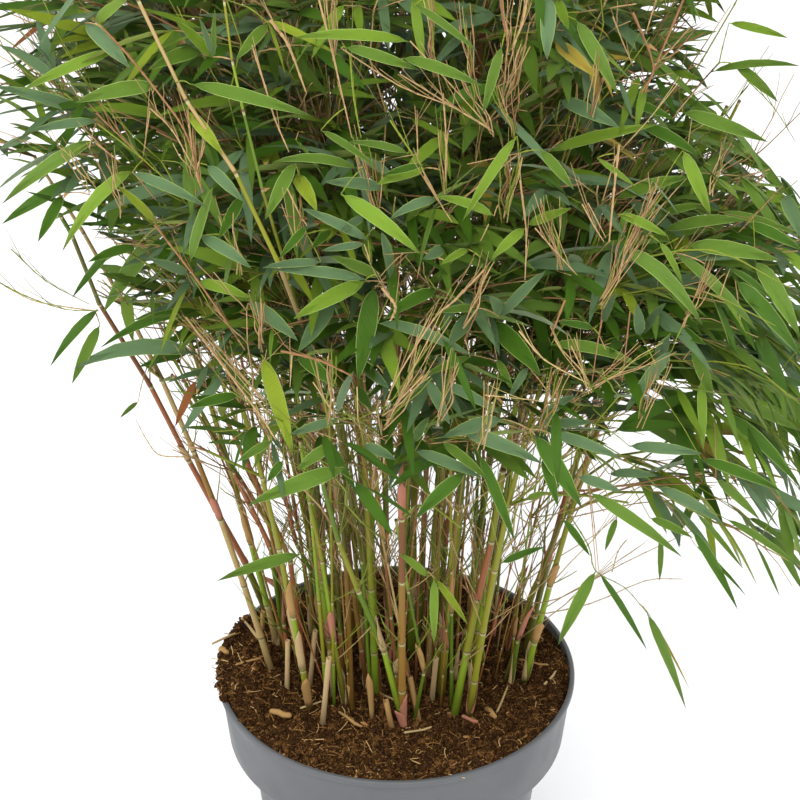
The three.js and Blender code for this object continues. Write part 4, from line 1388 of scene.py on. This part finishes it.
# Single twigs that stand clear of the leaves, each through points of the picture with their depth.
NOTED_TWIGS = [
    ([(397, 556, -90), (415, 560, -98), (434, 578, -110)], "green"),
    ([(563, 505, -90), (588, 545, -100), (596, 571, -100), (625, 588, -90), (647, 613, -80)], "green"),
    ([(520, 604, -4), (560, 598, -24), (622, 564, -60), (694, 530, -70)], "tan"),
    ([(522, 618, -4), (589, 604, -30), (645, 581, -44), (682, 579, -50)], "dry"),
    ([(612, 572, -60), (618, 552, -62), (626, 540, -60)], "dry"),
    ([(560, 520, -30), (640, 503, -60), (720, 499, -60), (798, 496, -50)], "tan"),
    ([(186, 457, -10), (160, 455, -8), (148, 442, -4), (136, 420, 0)], "dry"),
    ([(95, 311, -100), (60, 306, -96), (32, 300, -92), (4, 286, -90)], "dry"),
]

# Twigs on the face of the crown, with their radius.
CROWN_TWIGS = [
    ([(410, 41), (450, 84), (487, 125)], 0.5, "tan"), ([(400, 74), (450, 105), (494, 132)], 0.5, "tan"),
    ([(619, 145), (614, 190), (609, 242)], 0.9, "tan"), ([(582, 204), (594, 226), (604, 242)], 0.5, "tan"),
    ([(588, 203), (606, 238)], 0.45, "tan"), ([(535, 228), (556, 252), (577, 275)], 0.5, "tan"),
    ([(424, 176), (438, 200), (452, 222)], 0.5, "tan"),
    ([(484, 270), (455, 300), (434, 319), (399, 374), (385, 406)], 0.7, "tan"),
    ([(423, 376), (394, 406)], 0.5, "tan"), ([(519, 331), (545, 360), (589, 384)], 0.6, "dry"),
    ([(520, 180), (526, 230), (525, 280)], 0.6, "tan"), ([(683, 0), (658, 60), (645, 92)], 0.95, "brown"),
    ([(782, 186), (760, 210), (739, 232)], 0.6, "brown"), ([(701, 84), (677, 112)], 0.5, "tan"),
    ([(281, 351), (318, 360), (352, 376)], 0.9, "brown"), ([(382, 288), (395, 306), (391, 320)], 0.95, "tan"),
    ([(319, 0), (332, 51), (352, 138)], 0.7, "tan"), ([(270, 20), (288, 45), (306, 92)], 0.95, "tan"),
    ([(150, 108), (172, 130), (195, 170)], 0.6, "tan"), ([(187, 110), (190, 135), (195, 170)], 0.55, "tan"),
    ([(205, 145), (197, 172), (203, 193)], 0.55, "tan"),
    ([(155, 225), (197, 280), (225, 320), (245, 350)], 0.7, "brown"),
    ([(602, 320), (598, 341), (592, 382)], 0.5, "brown"), ([(630, 311), (622, 382)], 0.5, "brown"),
    ([(565, 300), (551, 336)], 0.85, "brown"), ([(571, 346), (588, 381)], 0.5, "tan"),
    ([(485, 395), (542, 401)], 0.4, "dry"), ([(292, 355), (290, 387)], 0.45, "dry"),
    ([(357, 387), (358, 422)], 0.45, "dry"), ([(313, 382), (336, 417)], 0.5, "tan"),
    ([(287, 188), (301, 217)], 0.5, "tan"), ([(390, 120), (420, 166)], 0.7, "green"),
    ([(0, 283), (26, 296), (64, 309), (99, 311)], 0.5, "green"),
    ([(11, 249), (46, 281), (89, 304)], 0.5, "green"),
    ([(103, 28), (133, 61), (163, 99), (179, 121), (189, 141), (196, 166), (202, 192)], 0.75, "brown"),
    ([(252, 45), (265, 86), (275, 119), (289, 152)], 0.65, "tan"), ([(150, 111), (143, 157)], 0.45, "tan"),
    ([(96, 113), (123, 139), (143, 159)], 0.5, "brown"), ([(98, 124), (140, 157), (178, 191)], 0.5, "green"),
    ([(96, 143), (120, 162)], 0.45, "tan"), ([(133, 172), (156, 200)], 0.45, "brown"),
    ([(186, 317), (236, 383), (262, 418), (276, 440)], 0.75, "tan"),
    ([(350, 55), (354, 100), (361, 138)], 0.6, "green"),
    ([(341, 48), (400, 86), (450, 106), (490, 128)], 0.5, "tan"),
    ([(689, 28), (672, 48), (654, 66)], 0.6, "tan"), ([(694, 30), (676, 52), (656, 68)], 0.5, "brown"),
    ([(719, 63), (700, 84), (673, 118)], 0.65, "brown"), ([(633, 13), (653, 66), (641, 93)], 1.0, "brown"),
    ([(613, 17), (623, 43), (633, 66)], 0.5, "tan"), ([(656, 0), (646, 33)], 0.6, "tan"),
    ([(747, 80), (774, 108), (795, 141)], 0.4, "green"), ([(443, 93), (446, 140), (445, 182)], 0.5, "tan"),
    ([(417, 131), (418, 160)], 0.45, "tan"), ([(501, 0), (504, 24), (509, 48)], 0.8, "brown"),
    ([(527, 0), (522, 24), (512, 50)], 0.8, "tan"),
]

# Sprays that hang over to the right one above the other, each on a bowed twig through three points
# of the picture, at several depths.
SPRAYS = [
    ((590, 300), (690, 288), (776, 326), (-190, 40)),
    ((604, 340), (700, 338), (786, 392), (-150, -20, 110)),
    ((600, 380), (690, 384), (776, 436), (-120, 20)),
    ((590, 420), (680, 428), (764, 482), (-110, 40)),
    ((622, 262), (710, 250), (790, 288), (-210, -60)),
    ((580, 452), (654, 462), (738, 512), (-70,)),
    ((640, 300), (736, 318), (798, 366), (-100, 60)),
    ((650, 360), (744, 366), (800, 404), (-170, -60, 60)),
]

# Brooms on the face of the crown: close bundles of thin twigs that spring from one joint. Each is
# the joint and the middle of the tips in the picture, the count and half the spread of the tips.
BROOMS = [
    (509, 48, 517, -4, 7, 18), (504, 99, 516, 46, 9, 16), (514, 131, 510, 90, 6, 20),
    (492, 130, 468, 78, 4, 14), (436, 68, 428, -2, 7, 7), (472, 82, 466, 28, 6, 8),
    (446, 186, 444, 130, 4, 6), (331, 55, 332, -4, 5, 9), (628, 246, 668, 188, 12, 20),
    (601, 299, 645, 222, 12, 22), (592, 386, 662, 346, 6, 24), (590, 384, 560, 330, 5, 18),
    (504, 214, 512, 160, 9, 14), (392, 404, 440, 314, 6, 12), (199, 190, 192, 132, 6, 20),
    (378, 218, 368, 150, 8, 20), (385, 420, 418, 372, 9, 14), (262, 346, 260, 298, 6, 12),
    (262, 402, 196, 322, 5, 18), (93, 188, 68, 150, 4, 10), (560, 262, 548, 200, 6, 16),
    (330, 420, 322, 352, 7, 16), (300, 250, 292, 196, 5, 14), (466, 330, 480, 268, 6, 14),
    (540, 430, 560, 372, 7, 18), (640, 420, 664, 366, 6, 18), (684, 320, 712, 266, 5, 16),
    (712, 190, 730, 140, 5, 14), (590, 110, 600, 60, 5, 12), (240, 270, 226, 214, 5, 14),
    (120, 210, 104, 160, 4, 12), (440, 420, 446, 360, 7, 16), (480, 440, 492, 382, 7, 16),
]
random = seeded(91)
FRONT = box_low[1] + 14
BEHIND_FACE = 15
FULL_TURN = 6.28


def crown_face(across, down, inset, missed=-110):
    """Where the camera's line through a point of the picture is so far inside the crown."""
    # It is followed in short steps from before the crown to past it.
    ray = Vector((across - PICTURE_MIDDLE, PICTURE_MIDDLE - down, -FOCAL_PIXELS)).normalized()
    ray.rotate(camera.rotation_euler)
    for travelled in range(760, 1500, 4):
        place = lens + ray * travelled
        if is_inside(place, 0):
            return seen_at(across, down, max(FRONT, place.y + inset))
    return seen_at(across, down, missed)


def rounded(nodes):
    """The same line with two more points in each stretch, on a smooth curve through them all."""
    padded = [nodes[0] * 2 - nodes[1], *nodes, nodes[-1] * 2 - nodes[-2]]
    line = [nodes[0]]
    for before, low, high, after in zip(padded, padded[1:], padded[2:], padded[3:]):
        for share in (1 / 3, 2 / 3, 1):
            square, cube = share**2, share**3
            place = before * (-share + 2 * square - cube) + low * (2 - 5 * square + 3 * cube)
            place += high * (share + 4 * square - 3 * cube) + after * (cube - square)
            line.append(place / 2)
    return line


for spots, colour in NOTED_TWIGS:
    nodes = rounded([seen_at(across, down, max(depth, FRONT)) for across, down, depth in spots])
    twig_lines.append(("outer", nodes, (0.5, 0.28), 5, colour))
for spots, thick, colour in CROWN_TWIGS:
    nodes = rounded([crown_face(*spot, BEHIND_FACE) for spot in spots])
    twig_lines.append(("outer", nodes, (0.86 * thick, 0.5 * thick), 5, colour))
    for at in range(1, len(nodes) - 1):
        if random() < 0.6:
            onward = stem_direction(nodes, at) * (-1 if nodes[-1].z < nodes[0].z else 1)
            onward = (turned_aside(onward, between(random, -50, 50)) + UP * 0.2).normalized()
            grow_branchlet("outer", nodes[at], onward, between(random, 12, 36), 0.3, colour, random)
for *spots, depths in SPRAYS:
    for depth in depths:
        nodes = rounded([seen_at(across, down, depth - 10 * at) for at, (across, down) in enumerate(spots)])
        twig_lines.append(("outer", nodes, (0.7, 0.3), 5, "green"))
        tone = drawn_tone(random)
        for at in range(1, len(nodes)):
            for _ in range(2):
                aside = heading(LEVEL, between(random, -1.5, 0.5)) * 0.6
                along = (stem_direction(nodes, at) + aside - UP * between(random, 0, 0.7)).normalized()
                if random() < 0.7:
                    grow_shoot("outer", nodes[at], along, random, tone, is_front=random() < 0.7)
            if random() < 0.3:
                tone = drawn_tone(random)
for from_x, from_y, to_x, to_y, count, spread in BROOMS:
    for _ in range(count):
        across = to_x + spread * (2 * random() - 1)
        down = to_y + 0.6 * spread * (2 * random() - 1)
        foot = crown_face(from_x + 3.5 * (2 * random() - 1), from_y + 16 * random() - 6, 34)
        tip = crown_face(across, down, between(random, 12, 34))
        bowed = heading(LEVEL, between(random, 0, FULL_TURN)) * between(random, 0.6, 3.6)
        line = [foot, foot.lerp(tip, 0.35) + bowed, foot.lerp(tip, 0.7) - bowed * 0.4, tip]
        colour = pick(random, "tan", "brown", "tan", "dry", "green")
        twig_lines.append(("outer", line, (between(random, 0.28, 0.5), 0.22), 4, colour))
        side = foot.lerp(tip, between(random, 0.3, 0.8))
        onward = (turned_aside(tip - foot, between(random, -45, 45)).normalized() + UP * 0.3).normalized()
        grow_branchlet("outer", side, onward, between(random, 10, 26), 0.28, colour, random)
twig_nodes = [node for _, nodes, _, _, _ in twig_lines for node in nodes[:-1]]
cane_nodes = [joint for cane in noted_canes for joint in cane["joints"][2:]]
held = np.array([tuple(node) for node in twig_nodes + cane_nodes])


def carry(root):
    """A thin twig from the nearest one that is there already, bowed a little upwards."""
    away = np.linalg.norm(held - np.array(root), axis=1)
    near = Vector(held[np.argmin(away + 0.5 * np.maximum(0, held[:, 2] - root.z - 60))])
    length = (near - root).length
    if length < 2:
        return
    bow = UP * 0.05 * length
    colour = "tan" if random() < 0.35 else "green"
    line = [near, near.lerp(root, 0.33) + bow, near.lerp(root, 0.67) + bow, root]
    twig_lines.append(("outer", line, (0.42, 0.26), 5, colour))


BLADE_WIDTH = 0.19
gaze = Vector((0, 0, -1))
gaze.rotate(camera.rotation_euler)


def add_noted_leaf(root, tip, width, bend, tone):
    """A leaf between two places, as broad as it is in the picture and turned towards the camera."""
    length = (tip - root).length
    along = (tip - root + UP * (bend * length / 2)) / length
    level = along.cross(UP).normalized()
    above = level.cross(along).normalized()
    across = along.cross(lens - root)
    facing = math.atan2(across.dot(above), across.dot(level))
    leaf = dict(group="noted", root=root, along=along, length=length, bend=bend, tone=tone)
    leaf["width"] = width * (root - lens).dot(gaze) / FOCAL_PIXELS
    leaf["roll"] = facing * between(random, 0.6, 0.95)
    leaf["twist"] = math.radians(32) * (2 * random() - 1)
    leaf["fold"] = between(random, 0.18, 0.48)
    leaf["is_scorched"] = random() < 0.01
    leaf_rows.append(leaf)
    carry(root)


# The foliage is thin at its hem, so the leaves there sit further in.
HEM_INSET = 64
for *spots, depth, width, tone in NOTED_LEAVES:
    foot, end = spots[:2], spots[2:]
    face = min(crown_face(*spot, 0, depth + HEM_INSET).y for spot in (foot, end))
    depth = max(min(depth, face + HEM_INSET), FRONT + 6)
    add_noted_leaf(seen_at(*foot, depth), seen_at(*end, depth - 6), width, between(random, 0.1, 0.3), tone)
# A blade that looks short for its width comes towards the camera.
for from_x, from_y, to_x, to_y, width, bend, tone in CROWN_LEAVES:
    shown = math.hypot(to_x - from_x, to_y - from_y)
    hidden = math.sqrt(max(0, (width / BLADE_WIDTH) ** 2 - shown**2)) / 1.8
    tip = crown_face(to_x, to_y, between(random, 2, 9) + 50 * ease(to_y, 240, 430))
    root = seen_at(from_x, from_y, tip.y + 5 + min(36, hidden))
    add_noted_leaf(root, tip, width, bend, tone)

# Dry branchlets. Wiry twigs that stand up steeply from the bare lower joints, leafless, forked,
# and straw-coloured to olive.
random = seeded(77)
for cane in canes + young_canes + dead_canes + noted_canes:
    joints = cane["joints"]
    for joint in range(1, min(6, len(joints) - 1)):
        upward = stem_direction(joints, joint)
        if joints[joint].z > 470:
            break
        for _ in range(4):
            if random() > (0.2 if joint == 1 else 0.5):
                continue
            aside = heading(LEVEL, between(random, 0, 2 * math.pi))
            along = (upward + aside * between(random, 0.2, 1.25)).normalized()
            colour = pick(random, "dry", "tan", "green", "green", "green", "brown")
            length = between(random, 22, 84)
            if not is_by_canes(joints[joint] + along * length):
                continue
            thick = between(random, 0.42, 0.75)
            nodes = grow_branchlet("young", joints[joint], along, length, thick, colour, random)
            for fork in (1, 2, 3):
                if random() < 0.5:
                    degrees = between(random, -55, 55)
                    grow_fork("young", nodes, fork, degrees, 0.45 * length, 0.34, colour, random)

# Twigs. Thin round wood, thicker at each joint. The bark is smooth and hardly glossy, and the stems
# that carry them are the upper part of the canes.
skins_and_barks = list(cane_skins)
for name, colour in TWIG_TONES.items():
    bark, _, _ = new_material(f"twig {name}", colour, 0.6, Specular_IOR_Level=0.12)
    skins_and_barks.append(bark)
BARK_SLOTS = {name: len(cane_skins) + at for at, name in enumerate(TWIG_TONES)}
JOINT_HALF = 1.6
JOINT_SWELLING = 1.5


def masses(group):
    """The solids that a group's twigs and leaves stand for."""
    return [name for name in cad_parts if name.startswith(f"foliage_{group}")]


for group in ("outer", "middle", "inner", "skirt", "young"):
    heap = Heap()
    for owner, nodes, (thick, thin), sides, colour in twig_lines:
        if owner != group:
            continue
        line, widths = [nodes[0]], [thick]
        for at in range(1, len(nodes)):
            radius = thick + (thin - thick) * at / (len(nodes) - 1)
            if sides > 3 and at < len(nodes) - 1:
                along = stem_direction(nodes, at) * JOINT_HALF
                line += [nodes[at] - along, nodes[at], nodes[at] + along]
                widths += [radius, radius * JOINT_SWELLING, radius]
            else:
                line.append(nodes[at])
                widths.append(radius)
        tube(heap, line, widths, sides, [BARK_SLOTS[colour]] * (len(line) - 1))
    for stem, cane in zip(stems + young_stems, canes + young_canes):
        if stem["group"] == group:
            draw_cane(heap, cane, cane["ring"]["enters"], len(cane["joints"]) - 1, 7, cane["tones"])
    for stem in skirt_stems if group == "skirt" else ():
        reach = stem.get("reach", 0) + 1
        if reach > 1:
            slots = [BARK_SLOTS["green"]] * (reach - 1)
            tube(heap, stem["points"][:reach], stem["radii"][:reach], 6, slots)
    piece = heap.piece(f"twigs_{group}", skins_and_barks)
    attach(piece, "root")
    if masses(group):
        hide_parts(*masses(group))

# Leaves. Narrow pointed blades, 20 to 75 mm long, on short stalks, a little folded along the
# midrib, twisted and bent down. They are joined into one mesh for each part of the crown.
LEAF_STATIONS = np.array([0.0, 0.04, 0.1, 0.22, 0.42, 0.64, 0.84, 1.0])
LEAF_WIDTHS = np.array([0.08, 0.12, 0.54, 0.9, 1.0, 0.84, 0.46, 0.012])
LEAF_THICKNESS = 0.0105
leaf_tone_names = list(LEAF_TONES)
leaf_skins = []


# A bamboo blade: a thin waxy skin, glossy above and matt and bluish below, with fine veins along it
# that break up its gloss.
def add_blade_skin(name, colour, roughness, gloss):
    skin, tree, principled = new_material(name, colour, roughness, Specular_IOR_Level=gloss)
    across = add_node(tree, "ShaderNodeUVMap", {"uv_map": "blade"}).outputs["UV"]
    wavy = {"Vector": across, "Scale": 4.6, "Distortion": 0.8}
    veins = add_node(tree, "ShaderNodeTexWave", {"bands_direction": "X"}, wavy)
    add_bump(tree, principled, veins.outputs["Fac"], 0.9, 0.0005)
    leaf_skins.append(skin)


for name, (upper_colour, under_colour, gloss) in LEAF_TONES.items():
    add_blade_skin(f"bamboo leaf {name} upper", upper_colour, 0.35, gloss)
    add_blade_skin(f"bamboo leaf {name} under", under_colour, 0.6, 0.15)
pale_margin, _, _ = new_material("pale leaf margin", "#859a50", 0.6, Specular_IOR_Level=0.3)
dried_tip, _, _ = new_material("dried leaf tip", "#a3814d", 0.6, Specular_IOR_Level=0.3)
leaf_skins += [pale_margin, dried_tip]


# Round each blade: how far across and how far above or below the middle each point is, and what
# each face is. The leaves placed one by one have a pale margin besides.
RIMS = {
    "plain": [(-1, 0, "upper"), (0, 1, "upper"), (1, 0, "under"), (0, -1, "under")],
    "margined": [
        *((-1, 0, "margin"), (-0.92, 0.2, "upper"), (0, 1, "upper"), (0.92, 0.2, "margin")),
        *((1, 0, "margin"), (0.92, -0.2, "under"), (0, -1, "under"), (-0.92, -0.2, "margin")),
    ],
}


def draw_leaves(name, rows, rim):
    """One mesh of all these leaves, each a row of rings round its blade."""
    around = len(rim)
    root = np.array([tuple(row["root"]) for row in rows])
    along = np.array([tuple(row["along"]) for row in rows])
    measures = ("length", "width", "bend", "roll", "twist", "fold")
    columns = [np.array([row[measure] for row in rows])[:, None] for measure in measures]
    length, width, bend, roll, twist, fold = columns
    aside = np.cross(along, (0, 0, 1))
    aside /= np.maximum(np.linalg.norm(aside, axis=1), 1e-6)[:, None]
    points = np.zeros((len(rows), len(LEAF_STATIONS), around, 3))
    for at, (share, broad) in enumerate(zip(LEAF_STATIONS, LEAF_WIDTHS)):
        middle = root + length * share * along
        middle[:, 2:] -= length * bend * share**2 / 2
        tangent = along.copy()
        tangent[:, 2:] -= bend * share
        tangent /= np.linalg.norm(tangent, axis=1)[:, None]
        level = aside - tangent * np.sum(aside * tangent, axis=1)[:, None]
        level /= np.linalg.norm(level, axis=1)[:, None]
        above = np.cross(level, tangent)
        angle = roll + twist * (share - 0.3)
        across = level * np.cos(angle) + above * np.sin(angle)
        normal = np.cross(across, tangent)
        half = width * broad / 2
        thick = length * LEAF_THICKNESS / 2 * (1 if share < 1 else 0.2)
        for spot, (out, rise, _) in enumerate(rim):
            lifted = half * fold * abs(out) + thick * rise
            points[:, at, spot] = middle + across * half * out + normal * lifted
    corners = len(LEAF_STATIONS) * around
    # The faces above and below are split along the same diagonals, so that neither cuts the other.
    pattern, kinds, stretch = [], [], []
    for at in range(len(LEAF_STATIONS) - 1):
        for side in range(around):
            low, after = at * around + side, at * around + (side + 1) % around
            high, high_after = low + around, after + around
            if side % 2 == 0:
                pattern += [[low, after, high_after], [low, high_after, high]]
            else:
                pattern += [[low, after, high], [after, high_after, high]]
            kinds += [rim[side][2]] * 2
            stretch += [at] * 2
    end = corners - around
    for side in range(1, around - 1):
        pattern += [[0, side + 1, side], [end, end + side, end + side + 1]]
        kinds += ["upper"] * 2
        stretch += [0, len(LEAF_STATIONS) - 2]
    pattern = np.array(pattern)
    faces = (pattern[None] + corners * np.arange(len(rows))[:, None, None]).reshape(-1, 3)
    tones = np.array([leaf_tone_names.index(row["tone"]) for row in rows])
    slots = 2 * tones[:, None] + np.array([kind == "under" for kind in kinds])[None]
    is_green = tones[:, None] < leaf_tone_names.index("dry")
    margins = np.array([kind == "margin" for kind in kinds])[None] & is_green
    slots = np.where(margins, leaf_skins.index(pale_margin), slots)
    burnt = np.array([row["is_scorched"] for row in rows])[:, None] & (np.array(stretch)[None] >= 6)
    slots = np.where(burnt, leaf_skins.index(dried_tip), slots).reshape(-1)
    piece = add_piece(name, points.reshape(-1, 3), faces.tolist(), leaf_skins, slots)

    # The margin is a sharp edge, and the veins follow the blade's own map.
    mesh = piece.data
    ends = np.zeros(len(mesh.edges) * 2, dtype=np.int32)
    mesh.edges.foreach_get("vertices", ends)
    ends = ends.reshape(-1, 2) % around
    is_margin = (ends[:, 0] == ends[:, 1]) & (ends[:, 0] % (around // 2) == 0)
    sharp = mesh.attributes.new("sharp_edge", "BOOLEAN", "EDGE")
    sharp.data.foreach_set("value", is_margin)
    corner_points = np.zeros(len(mesh.loops), dtype=np.int32)
    mesh.loops.foreach_get("vertex_index", corner_points)
    across_blade = np.array([0.5 + 0.5 * out for out, _, _ in rim])[corner_points % around]
    down_blade = LEAF_STATIONS[(corner_points // around) % len(LEAF_STATIONS)]
    blade = mesh.uv_layers.new(name="blade")
    blade.data.foreach_set("uv", np.stack([across_blade, down_blade], axis=1).reshape(-1))
    return piece


LEAVES_IN_A_PIECE = 3200
for group in ("outer", "middle", "inner", "skirt", "noted"):
    rows = [row for row in leaf_rows if row["group"] == group]
    parts = max(1, math.ceil(len(rows) / LEAVES_IN_A_PIECE))
    for part in range(parts):
        name = f"leaves_{group}" + (f"_{part + 1}" if parts > 1 else "")
        piece = draw_leaves(name, rows[part::parts], RIMS["margined" if group == "noted" else "plain"])
        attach(piece, "root")
        if masses(group):
            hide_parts(*masses(group))

# The bed that the crumbs were strewn on is done with.
bpy.data.objects.remove(ground)
